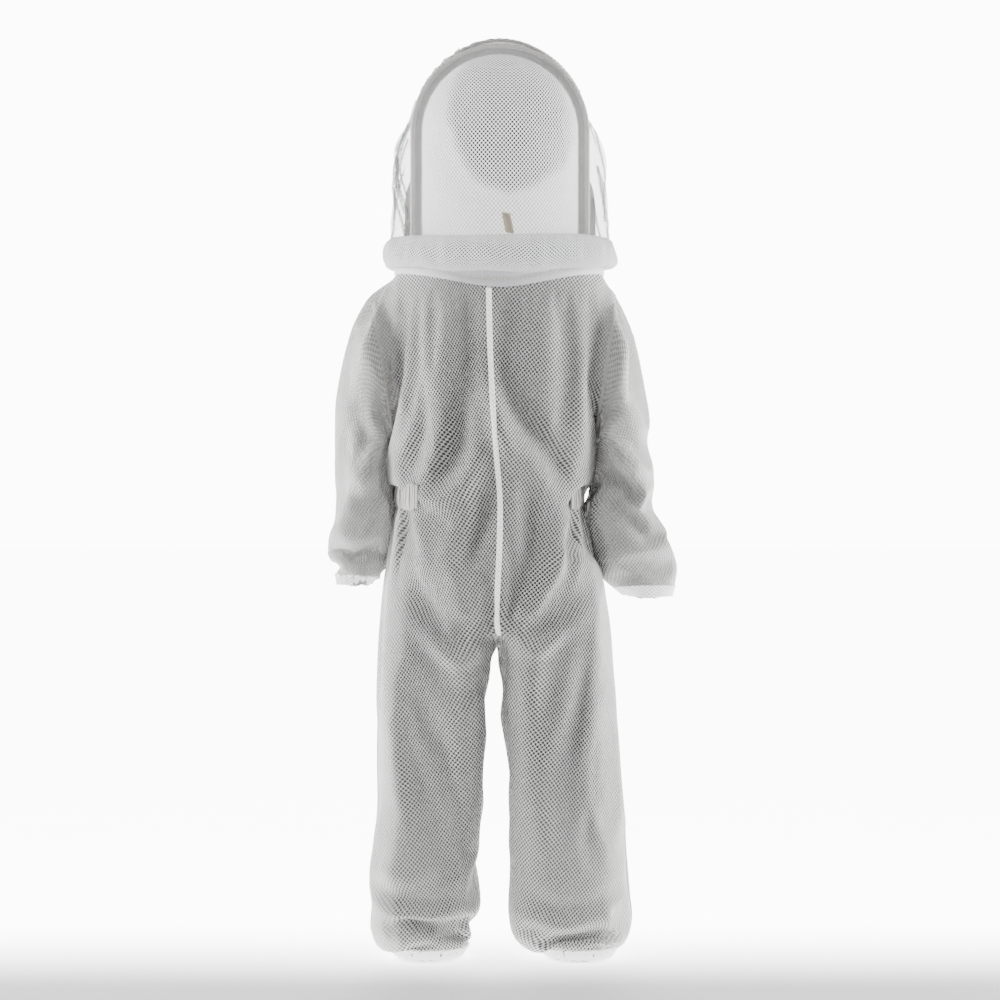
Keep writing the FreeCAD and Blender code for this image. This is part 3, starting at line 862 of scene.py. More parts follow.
def latticeWave(tree, mapName, wide, tall, turn):
    # staggered holes: the product of two cosines peaks on a diamond grid
    uv = addNode(tree, "ShaderNodeUVMap", uv_map=mapName)
    turned = addNode(tree, "ShaderNodeVectorRotate", {"Vector": uv.outputs[0], "Angle": math.radians(turn)},
                     rotation_type="Z_AXIS")
    split = addNode(tree, "ShaderNodeSeparateXYZ", {0: turned.outputs[0]})
    waves = []
    for output, pitch in ((split.outputs[0], wide), (split.outputs[1], tall)):
        scaled = addNode(tree, "ShaderNodeMath", {0: output, 1: 2 * math.pi * 1000 / pitch},
                         operation="MULTIPLY")
        waves.append(addNode(tree, "ShaderNodeMath", {0: scaled.outputs[0]}, operation="COSINE"))
    return addNode(tree, "ShaderNodeMath", {0: waves[0].outputs[0], 1: waves[1].outputs[0]},
                   operation="MULTIPLY")


def makeSpacerMesh(name, turn, holeDepth=1.0, shadeBehind="wearer"):
    # Polyester spacer mesh, warp knitted in three layers: white yarn round diamond holes that show the grey spacer
    # layer beneath, painted near black as shade from inside the suit. The holes are painted fully dark where the
    # wearer would lie behind the cloth, and paler, as painted backlight, where light would come through it, along
    # the outer legs and sleeves.
    s = meshCloth
    material, tree, shader = newMaterial(name)
    wave = latticeWave(tree, "weave", s["holeWide"], s["holeTall"], turn)
    hole = addNode(tree, "ShaderNodeMapRange", {"Value": wave.outputs[0], "From Min": -0.2, "From Max": 0.28})
    spot = addNode(tree, "ShaderNodeTexCoord")
    cloud = addNode(tree, "ShaderNodeTexNoise", {"Vector": spot.outputs["Object"], "Scale": 7.0, "Detail": 3.0})
    depth = addNode(tree, "ShaderNodeMapRange", {"Value": cloud.outputs["Fac"], "From Min": 0.3, "From Max": 0.7,
                    "To Min": 0.82 * holeDepth, "To Max": holeDepth})
    mask = addNode(tree, "ShaderNodeMath", {0: hole.outputs[0], 1: depth.outputs[0]}, operation="MULTIPLY")
    if shadeBehind:
        # painted shade and light: the holes stay dark where the wearer or head would lie behind, and turn paler as
        # painted backlight beyond, along a wavy border
        edge = addNode(tree, "ShaderNodeTexNoise", {"Vector": spot.outputs["Object"], "Scale": 14.0,
                       "Detail": 2.0})
        split = addNode(tree, "ShaderNodeSeparateXYZ", {0: spot.outputs["Object"]})
        if shadeBehind == "wearer":
            away = addNode(tree, "ShaderNodeMath", {0: split.outputs[0]}, operation="ABSOLUTE")
            limits = s["wearerEdge"]
        else:
            # the head's painted shade: an oval patch high in the hood
            middle = addNode(tree, "ShaderNodeVectorMath", {0: spot.outputs["Object"], 1: s["headCentre"]},
                             operation="ADD")
            oval = addNode(tree, "ShaderNodeVectorMath", {0: middle.outputs[0], 1: s["headOval"]},
                           operation="MULTIPLY")
            away = addNode(tree, "ShaderNodeVectorMath", {0: oval.outputs[0]}, operation="LENGTH")
            limits = s["headEdge"]
        output = away.outputs["Value"] if shadeBehind != "wearer" else away.outputs[0]
        ragged = addNode(tree, "ShaderNodeMath", {0: edge.outputs["Fac"], 1: 0.05, 2: output},
                         operation="MULTIPLY_ADD")
        paintedBacklightFade = addNode(tree, "ShaderNodeMapRange", {"Value": ragged.outputs[0], "From Min": limits[0],
                       "From Max": limits[1], "To Min": 1.0, "To Max": 0.42})
        mask = addNode(tree, "ShaderNodeMath", {0: mask.outputs[0], 1: paintedBacklightFade.outputs[0]}, operation="MULTIPLY")
    yarn = addNode(tree, "ShaderNodeTexNoise", {"Vector": spot.outputs["Object"], "Scale": 600.0,
                   "Detail": 2.0})
    thread = addNode(tree, "ShaderNodeMix", {"Factor": yarn.outputs["Fac"], "A": toLinear(s["thread"]),
                     "B": toLinear(s["threadShade"])}, data_type="RGBA")
    colour = addNode(tree, "ShaderNodeMix", data_type="RGBA")
    tree.links.new(mask.outputs[0], colour.inputs["Factor"])
    tree.links.new(mixResult(thread), mixSocket(colour, "A"))
    mixSocket(colour, "B").default_value = toLinear(s["hole"])
    tree.links.new(mixResult(colour), shader.inputs["Base Color"])
    if shadeBehind != "wearer":
        # painted light standing in for daylight through the hood, the collar, the hems and the back seam's binding:
        # the yarn is given a faint glow though it is no lamp, and the holes give off none
        through = addNode(tree, "ShaderNodeMapRange", {"Value": mask.outputs[0], "From Min": 0.0, "From Max": 0.6,
                          "To Min": s["glow"], "To Max": 0.0})
        tree.links.new(through.outputs[0], shader.inputs["Emission Strength"])
        shader.inputs["Emission Color"].default_value = (1, 1, 1, 1)
    fibre = addNode(tree, "ShaderNodeMath", {0: yarn.outputs["Fac"], 1: -0.25, 2: wave.outputs[0]},
                    operation="MULTIPLY_ADD")
    bump = addNode(tree, "ShaderNodeBump", {"Height": fibre.outputs[0], "Strength": s["bump"],
                   "Distance": 0.0008}, invert=True)
    tree.links.new(bump.outputs[0], shader.inputs["Normal"])
    shader.inputs["Roughness"].default_value = s["roughness"]
    shader.inputs["Sheen Weight"].default_value = 0.2
    shader.inputs["Sheen Roughness"].default_value = 0.5
    return material


def mixSocket(node, name):
    # the colour sockets of a Mix node, which shares names between data types
    return [socket for socket in node.inputs if socket.name == name and socket.type == "RGBA"][0]


def mixResult(node):
    return [socket for socket in node.outputs if socket.type == "RGBA"][0]


def makeWoven(name, pale, dark, pitch, roughness, depth=0.0003, rib=False, sheen=0.2):
    # plain woven or ribbed narrow fabric: threads along and across at pitch mm
    material, tree, shader = newMaterial(name)
    uv = addNode(tree, "ShaderNodeUVMap", uv_map="weave")
    split = addNode(tree, "ShaderNodeSeparateXYZ", {0: uv.outputs[0]})
    waves = []
    for output in (split.outputs[0], split.outputs[1]):
        scaled = addNode(tree, "ShaderNodeMath", {0: output, 1: 2 * math.pi * 1000 / pitch},
                         operation="MULTIPLY")
        waves.append(addNode(tree, "ShaderNodeMath", {0: scaled.outputs[0]}, operation="COSINE"))
    if rib:
        height = waves[1]
    else:
        height = addNode(tree, "ShaderNodeMath", {0: waves[0].outputs[0], 1: waves[1].outputs[0]},
                         operation="MULTIPLY")
    spot = addNode(tree, "ShaderNodeTexCoord")
    wear = addNode(tree, "ShaderNodeTexNoise", {"Vector": spot.outputs["Object"], "Scale": 60.0, "Detail": 4.0})
    shade = addNode(tree, "ShaderNodeMapRange", {"Value": height.outputs[0], "From Min": -1.0, "From Max": 1.0,
                    "To Min": 0.75, "To Max": 0.0})
    both = addNode(tree, "ShaderNodeMath", {0: wear.outputs["Fac"], 1: 0.35, 2: shade.outputs[0]},
                   operation="MULTIPLY_ADD")
    colour = addNode(tree, "ShaderNodeMix", {"Factor": both.outputs[0]}, data_type="RGBA")
    mixSocket(colour, "A").default_value = toLinear(pale)
    mixSocket(colour, "B").default_value = toLinear(dark)
    tree.links.new(mixResult(colour), shader.inputs["Base Color"])
    bump = addNode(tree, "ShaderNodeBump", {"Height": height.outputs[0], "Strength": 0.8, "Distance": depth})
    tree.links.new(bump.outputs[0], shader.inputs["Normal"])
    shader.inputs["Roughness"].default_value = roughness
    shader.inputs["Sheen Weight"].default_value = sheen
    return material


def makeVeilNet():
    # Knitted polyester tulle, dyed black: open hexagons about 2 mm across. Each thread is thin, so one
    # layer greys what is behind it and folds, where layers add up, look darker.
    material, tree, shader = newMaterial("veilNetBlackTulle")
    wave = latticeWave(tree, "weave", veilNet["pitch"], veilNet["pitch"] * 1.7, 0)
    thread = addNode(tree, "ShaderNodeMapRange", {"Value": wave.outputs[0], "From Min": veilNet["threadEdge"],
                     "From Max": veilNet["threadEdge"] - 0.6, "To Min": 0.10, "To Max": 0.75})
    spot = addNode(tree, "ShaderNodeTexCoord")
    cloud = addNode(tree, "ShaderNodeTexNoise", {"Vector": spot.outputs["Object"], "Scale": 18.0, "Detail": 3.0})
    tone = addNode(tree, "ShaderNodeMix", {"Factor": cloud.outputs["Fac"]}, data_type="RGBA")
    mixSocket(tone, "A").default_value = toLinear(veilNet["thread"])
    mixSocket(tone, "B").default_value = toLinear(veilNet["threadPale"])
    tree.links.new(mixResult(tone), shader.inputs["Base Color"])
    tree.links.new(thread.outputs[0], shader.inputs["Alpha"])
    shader.inputs["Roughness"].default_value = 0.5
    shader.inputs["Sheen Weight"].default_value = 0.3
    return material


veilNet = {
    "pitch": 2.2,          # mm between holes in a row
    "threadEdge": 0.30,    # higher shows more thread
    "thread": "#606165",
    "threadPale": "#8e8f93",
}


def makePlain(name, pale, dark, roughness, metallic=0.0, grain=300.0, depth=0.00005, contrast=0.5):
    # moulded plastic or cast metal: slight unevenness in colour, gloss and surface
    material, tree, shader = newMaterial(name)
    spot = addNode(tree, "ShaderNodeTexCoord")
    noise = addNode(tree, "ShaderNodeTexNoise", {"Vector": spot.outputs["Object"], "Scale": grain, "Detail": 5.0})
    level = addNode(tree, "ShaderNodeMapRange", {"Value": noise.outputs["Fac"], "From Min": 0.3, "From Max": 0.7,
                    "To Max": contrast})
    colour = addNode(tree, "ShaderNodeMix", {"Factor": level.outputs[0]}, data_type="RGBA")
    mixSocket(colour, "A").default_value = toLinear(pale)
    mixSocket(colour, "B").default_value = toLinear(dark)
    tree.links.new(mixResult(colour), shader.inputs["Base Color"])
    gloss = addNode(tree, "ShaderNodeMapRange", {"Value": noise.outputs["Fac"], "To Min": roughness - 0.08,
                    "To Max": roughness + 0.12})
    tree.links.new(gloss.outputs[0], shader.inputs["Roughness"])
    bump = addNode(tree, "ShaderNodeBump", {"Height": noise.outputs["Fac"], "Strength": 0.3, "Distance": depth})
    tree.links.new(bump.outputs[0], shader.inputs["Normal"])
    shader.inputs["Metallic"].default_value = metallic
    return material


# the body cloth carries the wearer's painted shade, and painted backlight along the outer legs and sleeves
meshLeft = makeSpacerMesh("spacerMeshLeft", 8)
meshRight = makeSpacerMesh("spacerMeshRight", -8)
# the hood, collar and hem cloths get painted light: their yarn glows faintly for daylight through them
meshHood = makeSpacerMesh("spacerMeshHood", 0, 1.0, "head")
meshRoll = makeSpacerMesh("spacerMeshCollar", 4, 0.95, None)
# Spacer mesh turned up twice and stitched: the holes close, so a hem looks almost plain.
hemCloth = makeSpacerMesh("spacerMeshHem", 3, 0.3, None)
# Cotton twill tape, bleached: matt, warm white, with a fine diagonal that reads as plain cloth.
cotton = makeWoven("cottonBinding", "#efeeea", "#cfcdc8", 1.0, 0.85)
# Satin-faced polyester zip tape: brighter and smoother than the cloth round it.
satin = makeWoven("satinZipTape", "#f6f6f8", "#dcdce2", 0.9, 0.4, 0.00012, False, 0.4)
# Knitted elastic: ribs across its length, drawn as coarse as they gather the cloth.
ribElastic = makeWoven("knittedElastic", "#ebeae6", "#b9b7b1", 3.2, 0.8, 0.0009, True)
# Coil zip teeth, extruded polyester: semi-gloss white plastic with grey between the turns.
coil = makePlain("polyesterCoil", "#f1f1ef", "#d2d2cf", 0.4, 0.0, 500.0)
# Zinc alloy, die cast and nickel plated: pale grey metal with soft highlights.
zinc = makePlain("nickelPlatedZinc", "#c9c8c4", "#9b9a96", 0.3, 1.0, 220.0)
# Polypropylene rod, extruded: milky and waxy, stiffens the hood.
hoopPlastic = makePlain("polypropyleneRod", "#e4e4e0", "#c9c9c4", 0.38, 0.0, 120.0)
# Cotton herringbone tape, unbleached: beige and matt.
beigeTape = makeWoven("unbleachedLoopTape", "#cfc5b4", "#a89c86", 1.4, 0.9)
veilMaterial = makeVeilNet()
print("materials made")


def smoothStrip(tree, path, facing, steps, name, profile, material):
    # a strip laid on the cloth along x, z knots
    t = np.linspace(0, len(path) - 1, steps)
    xs = curveAt([(i, p[0]) for i, p in enumerate(path)], t)
    zs = curveAt([(i, p[1]) for i, p in enumerate(path)], t)
    hits = [onCloth(tree, x, z, facing) for x, z in zip(xs, zs)]
    points = evened([h[0] for h in hits], 3)
    normals = evened([h[1] for h in hits], 6)
    return strip(name, points, normals, profile, material)


def patch(name, tree, x0, x1, z0, z1, facing, lift, thickness, material, corner=6.0, pillow=1.0,
          roundEnds=(True, True), step=3.0):
    # a sewn-on piece of cloth that follows the body, pulled in at its edges, closed all round
    columns = max(int((x1 - x0) / step), 4) + 1
    rows = max(int((z1 - z0) / step), 4) + 1
    base, faces = [], []
    for r in range(rows):
        v = r / (rows - 1)
        for c in range(columns):
            u = c / (columns - 1)
            x, z = x0 + (x1 - x0) * u, z0 + (z1 - z0) * v
            # corners drawn in to a radius
            dx, dz = min(u, 1 - u) * (x1 - x0), min(v, 1 - v) * (z1 - z0)
            rounding = roundEnds[0] if v < 0.5 else roundEnds[1]
            if rounding and dx < corner and dz < corner:
                reach = math.hypot(corner - dx, corner - dz)
                if reach > 0 and max(corner - dx, corner - dz) > 0:
                    square = max(corner - dx, corner - dz)
                    pull = square / reach
                    x += ((corner - dx) * (1 - pull)) * (1 if u < 0.5 else -1)
                    z += ((corner - dz) * (1 - pull)) * (1 if v < 0.5 else -1)
            spot, normal = onCloth(tree, x, z, facing)
            edge = min(dx, dz)
            puff = pillow * (1 - math.exp(-edge / 6.0)) + 0.25 * math.sin(x / 9 + 1.7 * math.sin(z / 13))
            high = lift + thickness * (0.35 if edge < 0.5 else 1.0) + puff * (edge > 0.5)
            base.append((spot, normal, high, x, z))
    sign = 1 if facing == "back" else -1
    flat = Vector((0, sign, 0))
    top = [spot + (normal * 0.4 + flat * 0.6).normalized() * high / 1000
           for spot, normal, high, _, _ in base]
    under = [spot + flat * (lift - 0.4) / 1000 for spot, _, _, _, _ in base]
    count = rows * columns
    faces = gridFaces(rows, columns, False)
    faces += [tuple(count + i for i in f[::-1]) for f in faces]
    rim = list(range(columns)) + [r * columns + columns - 1 for r in range(1, rows)]
    rim += [count - 1 - c for c in range(1, columns)] + [r * columns for r in range(rows - 2, 0, -1)]
    faces += [(a, count + a, count + b, b) for a, b in zip(rim, rim[1:] + rim[:1])]
    piece = newObject(name, top + under, faces, material)
    u = np.array([b[3] for b in base] * 2) / 1000
    v = np.array([b[4] for b in base] * 2) / 1000
    setWeave(piece.data, u, v)
    mesh = bmesh.new()
    mesh.from_mesh(piece.data)
    bmesh.ops.recalc_face_normals(mesh, faces=mesh.faces[:])
    mesh.to_mesh(piece.data)
    mesh.free()
    return piece


def merged(name, parts):
    piece = joined(parts)
    piece.name = piece.data.name = name
    return piece


skinPieces = cutSleeves(bodySkin())
print("body cloth shaped")
panels = bodyPanels(skinPieces["body"])
bodyTree = skinTree(panels.values())
for (facing, side), piece in panels.items():
    finishPiece(piece, meshLeft if side == "left" else meshRight, 2.4)
    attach(piece, "root")
    if facing == "back":
        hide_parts("back_panel_" + side, "leg_" + side)
    else:
        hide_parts("front_panel_" + side)
print("body panels cut")


def sleeveMap(co, side):
    # weave coordinates: along the slanting loops of the sleeve, and round each loop
    sign = 1 if side == "left" else -1
    x, y, z = co[:, 0] * 1000 * sign, (co[:, 1] - midY) * 1000, co[:, 2] * 1000
    keys = sleeves[side]
    steps = np.linspace(0, len(keys) - 1, 60)
    xIn, zIn, xOut, zOut, yMid, depth = [curveAt([(i, k[j]) for i, k in enumerate(keys)], steps)
                                         for j in range(6)]
    centre = np.stack([(xIn + xOut) / 2, (zIn + zOut) / 2], axis=1)
    along = np.concatenate([[0], np.cumsum(np.linalg.norm(np.diff(centre, axis=0), axis=1))])
    length = np.hypot(xOut - xIn, zOut - zIn)
    ux, uz = (xOut - xIn) / length, (zOut - zIn) / length
    # signed distance past each loop's plane
    past = (x[:, None] - centre[:, 0]) * uz - (z[:, None] - centre[:, 1]) * ux
    index = np.clip((past > 0).cumprod(axis=1).sum(axis=1) - 1, 0, len(steps) - 2)
    rows = np.arange(len(x))
    a, b = past[rows, index], past[rows, index + 1]
    share = np.clip(a / np.where(np.abs(a - b) < 1e-6, 1, a - b), -1, 2)
    v = along[index] + share * (along[index + 1] - along[index])
    across = (x - centre[index, 0]) * ux[index] + (z - centre[index, 1]) * uz[index]
    half = length[index] / 2
    angle = np.arctan2(across / half, (y - yMid[index]) / depth[index])
    return angle * sign, -v


def sleevePiece(side):
    piece = skinPieces[side]
    piece.name = piece.data.name = "sleeve" + side.capitalize()
    endZ = sleeves[side][-1][1]
    cutAway(piece, lambda x, y, z, n: not (z < endZ + 9 and n.z < -0.75))
    angle, v = sleeveMap(coordinates(piece.data), side)
    corner = np.empty(len(piece.data.loops), int)
    piece.data.loops.foreach_get("vertex_index", corner)
    layer = piece.data.uv_layers.new(name="weave")
    turns = angle[corner]
    for polygon in piece.data.polygons:
        span = slice(polygon.loop_start, polygon.loop_start + polygon.loop_total)
        values = turns[span]
        if values.max() - values.min() > math.pi:
            turns[span] = np.where(values < 0, values + 2 * math.pi, values)
    # one girth for the whole sleeve keeps the rows of holes unbroken round it
    layer.data.foreach_set("uv", np.stack([turns * 0.052, v[corner] / 1000], axis=1).ravel())
    return piece


sleevePieces = {}
for side in ("left", "right"):
    piece = sleevePiece(side)
    sleevePieces[side] = piece
    finishPiece(piece, meshLeft if side == "left" else meshRight, 2.2)
    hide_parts("sleeve_" + side)
sleeveTree = {side: skinTree([piece]) for side, piece in sleevePieces.items()}
print("sleeves made")

seamTape = tapeProfile(3.6, 1.7, 0.0, 0.6)
backKnots = [(spineX(z), z) for z in (910, 860, 800, 740, 680, 620, 560, 500, 465, 446)]
backSeam = smoothStrip(bodyTree, backKnots, "back", 150, "centreBackSeam", seamTape, hemCloth)
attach(backSeam, "root")
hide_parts("centre_back_binding")


def sideRun(side, z0, z1, steps):
    # points down the outer side of the body, on the cut between back and front
    sign = 1 if side == "left" else -1
    points, normals = [], []
    for z in np.linspace(z0, z1, steps):
        spot, normal = outward(bodyTree, place(sign * 90, 0, z), (sign, 0, 0), 0.4)
        points.append(spot)
        normals.append(normal)
    return evened(points, 2), evened(normals, 6)


def legRun(side, inner, z0, z1, steps):
    sign = (1 if side == "left" else -1) * (-1 if inner else 1)
    start = 90 if side == "left" else -90
    points, normals = [], []
    for z in np.linspace(z0, z1, steps):
        direction = Vector((sign, 0, 0))
        origin = place(start, 0, z)
        hit = bodyTree.ray_cast(origin, direction)
        spot, normal = hit[0], hit[1]
        if spot is None:
            continue
        points.append(spot)
        normals.append(normal if normal.dot(direction) > 0 else -normal)
    return evened(points, 2), evened(normals, 6)


narrowSeam = tapeProfile(3.0, 1.1, 0.0, 0.4)
for side in ("left", "right"):
    for label, z0, z1, nodes in (("Rib", 905, 652, "side_binding_rib_"),
                                 ("Hip", 612, 470, "side_binding_hip_")):
        points, normals = sideRun(side, z0, z1, 60)
        name = "side" + label + "Seam" + side.capitalize()
        seam = strip(name, points, normals, narrowSeam, cotton)
        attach(seam, "root")
        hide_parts(nodes + side)
    for label, inner, top in (("Out", False, 468), ("In", True, 425)):
        points, normals = legRun(side, inner, top, 12, 90)
        name = "leg" + label + "Seam" + side.capitalize()
        seam = strip(name, points, normals, narrowSeam, cotton)
        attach(seam, "root")


def bandProfile(height, thickness, lift):
    half = height / 2
    return [(-half, lift - 1.2), (-half, lift + thickness * 0.6), (-half + 1.5, lift + thickness),
            (0, lift + thickness * 0.8), (half - 1.5, lift + thickness), (half, lift + thickness * 0.6),
            (half, lift - 1.2)]


def ringAround(tree, centre, z, count, tiltX=0.0):
    # points round a closed sleeve or leg at one height
    points, normals = [], []
    for i in range(count):
        a = 2 * math.pi * i / count
        direction = Vector((math.cos(a), math.sin(a), 0))
        origin = place(centre[0], centre[1], z + tiltX * math.cos(a))
        hit = tree.ray_cast(origin, direction)
        if hit[0] is None:
            hit = (origin + direction * 0.045, direction)
        points.append(hit[0])
        normals.append(hit[1] if hit[1].dot(direction) > 0 else -hit[1])
    return evened(points, 7, True), evened(normals, 9, True)


for side in ("left", "right"):
    sign = 1 if side == "left" else -1
    outer, inner = legs[side]["outer"], legs[side]["inner"]
    middle = sign * (curveAt(outer, 12) + curveAt(inner, 12)) / 2
    points, normals = ringAround(bodyTree, (middle, 0), 11, 96)
    gathered = [p + n * 0.0011 * math.sin(i * 1.9) for i, (p, n) in enumerate(zip(points, normals))]
    band = strip("ankleElastic" + side.capitalize(), gathered, normals, bandProfile(17, 1.4, 0.1), hemCloth,
                 True)
    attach(band, "root")
    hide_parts("ankle_elastic_" + side)
    last = sleeves[side][-1]
    cuffZ = (last[1] + last[3]) / 2 + (12 if side == "left" else 12)
    middleX = sign * (last[0] + last[2]) / 2
    points, normals = ringAround(sleeveTree[side], (middleX, -14), cuffZ, 80)
    depth = 0.0008 if side == "left" else 0.0002
    gathered = [p + n * depth * math.sin(i * 1.7) for i, (p, n) in enumerate(zip(points, normals))]
    cuff = strip("wristElastic" + side.capitalize(), gathered, normals, bandProfile(16, 1.2, 0.1), hemCloth,
                 True)
    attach(cuff, "sleeve_" + side)
    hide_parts("wrist_elastic_" + side)
print("seams and elastics made")


def waistElastic(side):
    # a gathered band round the side; the cloth it pulls in stands up in ribs
    sign = 1 if side == "left" else -1
    xMid = sign * 60
    points, normals = [], []
    for a in np.linspace(-40, 60, 110):
        direction = Vector((sign * math.cos(math.radians(a)), math.sin(math.radians(a)), 0))
        spot, normal = outward(bodyTree, place(xMid, 8, waistZ), direction, 0.25)
        points.append(spot)
        normals.append(normal)
    points, normals = evened(points, 8), evened(normals, 10)
    count = len(points)
    verts, rows = [], 13
    for i, (p, n) in enumerate(zip(points, normals)):
        t = i / (count - 1)
        half = (17 + 1.5 * math.sin(t * 9)) * (1 if 0.06 < t < 0.94 else 0.9)
        for j in range(rows):
            v = j / (rows - 1) * 2 - 1
            rib = 1.7 * math.sin(i * 1.05 + 0.5 * math.sin(v * 3)) * (1 - 0.55 * abs(v))
            high = (2.4 * (1 - v ** 6) + rib * (1 - abs(v) ** 4)) * min(1, 8 * t, 8 * (1 - t))
            verts.append(p + n * (high - 0.6) / 1000 + Vector((0, 0, v * half / 1000)))
    faces = gridFaces(count, rows, False)
    piece = newObject("waistElastic" + side.capitalize(), verts, faces, ribElastic)
    along = np.repeat(np.arange(count) * 1.6, rows) / 1000
    setWeave(piece.data, np.tile(np.linspace(0, 0.036, rows), count), along)
    thickened(piece, 2.0, 0.0)
    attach(piece, "root")
    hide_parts("waist_elastic_" + side)


for side in ("left", "right"):
    waistElastic(side)


def armholeSeam(side):
    # a narrow felled seam where the sleeve's tube comes out of the body
    sign = 1 if side == "left" else -1
    points, normals = [], []
    low = Vector((sign * parting["armpitX"][side], 0, parting["armpitZ"][side]))
    high = Vector((sign * parting["shoulderX"][side], 0, 915))
    lean = (high - low).normalized()
    middle = (low + high) / 2
    for i in range(90):
        a = 2 * math.pi * i / 90
        direction = (lean * math.cos(a) + Vector((0, 1, 0)) * math.sin(a)).normalized()
        origin = place(middle.x - sign * 1.0, 0, middle.z)
        hit = bodyTree.ray_cast(origin, direction, 0.125)
        if hit[0] is None:
            hit = sleeveTree[side].ray_cast(origin, direction, 0.125)
        if hit[0] is None:
            continue
        points.append(hit[0])
        normals.append(hit[1] if hit[1].dot(direction) > 0 else -hit[1])
    points, normals = evened(points, 4, True), evened(normals, 6, True)
    seam = strip("armholeSeam" + side.capitalize(), points, normals, tapeProfile(3.2, 1.0, 0.0, 0.4), cotton,
                 True)
    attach(seam, "root")
    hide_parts("armhole_binding_" + side)


for side in ("left", "right"):
    armholeSeam(side)
print("waist and armholes made")


# The neck ring: tapes and teeth follow the dipping neck seam round the body.
def neckPoint(a, height, lift):
    x, y = 140 * math.cos(a), 108 * math.sin(a)
    seamZ = neckSeamZ(x)
    direction = Vector((math.cos(a) * 1.0, math.sin(a) * 1.25, 0)).normalized()
    spot = outward(bodyTree, place(0, 0, seamZ - 2), direction, 0.3)[0]
    flat = Vector((x / 140 ** 2, y / 108 ** 2, 0)).normalized()
    centre = place(0, 0, seamZ + height)
    reach = Vector((spot.x - centre.x, spot.y - centre.y, 0))
    return centre + reach + flat * lift / 1000, flat


def neckRing(name, height, lift, profile, material, count=200):
    pairs = [neckPoint(2 * math.pi * i / count, height, lift) for i in range(count)]
    points, normals = evened([p[0] for p in pairs], 3, True), [p[1] for p in pairs]
    return strip(name, points, normals, profile, material, True)


lowerTape = neckRing("neckZipLowerTape", 3.8, 0.6, tapeProfile(4.6, 1.3), satin)
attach(lowerTape, "root")
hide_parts("neck_zip_lower_tape")
upperTape = neckRing("neckZipUpperTape", 16.6, 0.8, tapeProfile(4.6, 1.3), satin)
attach(upperTape, "hood")
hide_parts("neck_zip_upper_tape")


def coilTeeth(name, pointAt, count, material, half=1.8):
    # alternate hooked turns, each a small rounded block lying across the line
    verts, faces = [], []
    spots = [pointAt(i / count) for i in range(count)]
    for i, (point, normal) in enumerate(spots):
        after = spots[(i + 1) % count][0]
        ahead = after - point
        tangent = ahead.normalized() if ahead.length < 0.02 else (point - spots[i - 1][0]).normalized()
        out = (normal - tangent * normal.dot(tangent)).normalized()
        across = tangent.cross(out)
        shift = 0.45 if i % 2 else -0.45
        start = len(verts)
        for t, w, h in ((-0.5, half, 0.2), (-0.5, half, 1.0), (-0.25, half * 0.85, 1.6), (0.25, half * 0.85, 1.6),
                        (0.5, half, 1.0), (0.5, half, 0.2)):
            for s in (-1, 1):
                verts.append(point + (tangent * t * 1.25 + across * (s * w + shift) + out * h) / 1000)
        for j in range(5):
            a = start + 2 * j
            faces.append((a, a + 1, a + 3, a + 2))
        faces.append((start, start + 10, start + 11, start + 1))
        faces.append(tuple(start + 2 * j for j in range(6))[::-1])
        faces.append(tuple(start + 2 * j + 1 for j in range(6)))
    piece = newObject(name, verts, faces, material)
    for polygon in piece.data.polygons:
        polygon.use_smooth = False
    return piece


neckTeeth = coilTeeth("neckZipTeeth", lambda t: neckPoint(2 * math.pi * t, 10.2, 0.4), 420, coil)
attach(neckTeeth, "root")
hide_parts("neck_zip_teeth")


frontTeeth = coilTeeth("mainZipTeeth", lambda t: (place(0, -108.6, 907 - 412 * t), Vector((0, -1, 0))), 260, coil)
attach(frontTeeth, "root")
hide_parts("main_zip_teeth")
for side, x in (("left", 8.6), ("right", -8.6)):
    points = [place(x, -108.6, z) for z in np.linspace(908, 487, 90)]
    tape = strip("mainZipTape" + side.capitalize(), points, [Vector((0, -1, 0))] * 90, tapeProfile(6.4, 1.0, -0.6),
                 satin)
    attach(tape, "root")
    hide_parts("main_zip_tape_" + side)
print("zips made")

chest = patch("chestPocket", bodyTree, 26, 92, 728, 806, "front", 0.6, 1.6, meshLeft, 9, 1.5)
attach(chest, "root")
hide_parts("chest_pocket")
welt = patch("chestPocketWelt", bodyTree, 24, 94, 813, 820, "front", 1.2, 1.8, cotton, 1, 0.6)
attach(welt, "root")
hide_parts("chest_pocket_welt")
flap = patch("chestPocketFlap", bodyTree, 24, 94, 777, 812, "front", 3.4, 1.6, meshLeft, 10, 0.9,
             (True, False))
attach(flap, "pocket_flap")
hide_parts("chest_pocket_flap")
for side, x0, x1 in (("left", 40, 112), ("right", -112, -40)):
    pocket = patch("hipPocket" + side.capitalize(), bodyTree, x0, x1, 500, 585, "front", 0.6, 1.6,
                   meshLeft if side == "left" else meshRight, 12, 1.6, (True, False))
    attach(pocket, "root")
    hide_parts("hip_pocket_" + side)
    mouth = patch("hipPocketMouth" + side.capitalize(), bodyTree, x0 - 1, x1 + 1, 577, 587, "front", 2.6, 1.6,
                  cotton, 2, 0.6)
    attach(mouth, "root")
    sign = 1 if side == "left" else -1
    knee = patch("kneePatch" + side.capitalize(), bodyTree, min(sign * 42, sign * 148), max(sign * 42, sign * 148),
                 300, 420, "front", 0.5, 1.6, meshLeft if side == "left" else meshRight, 14, 1.4)
    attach(knee, "root")
    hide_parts("knee_patch_" + side)


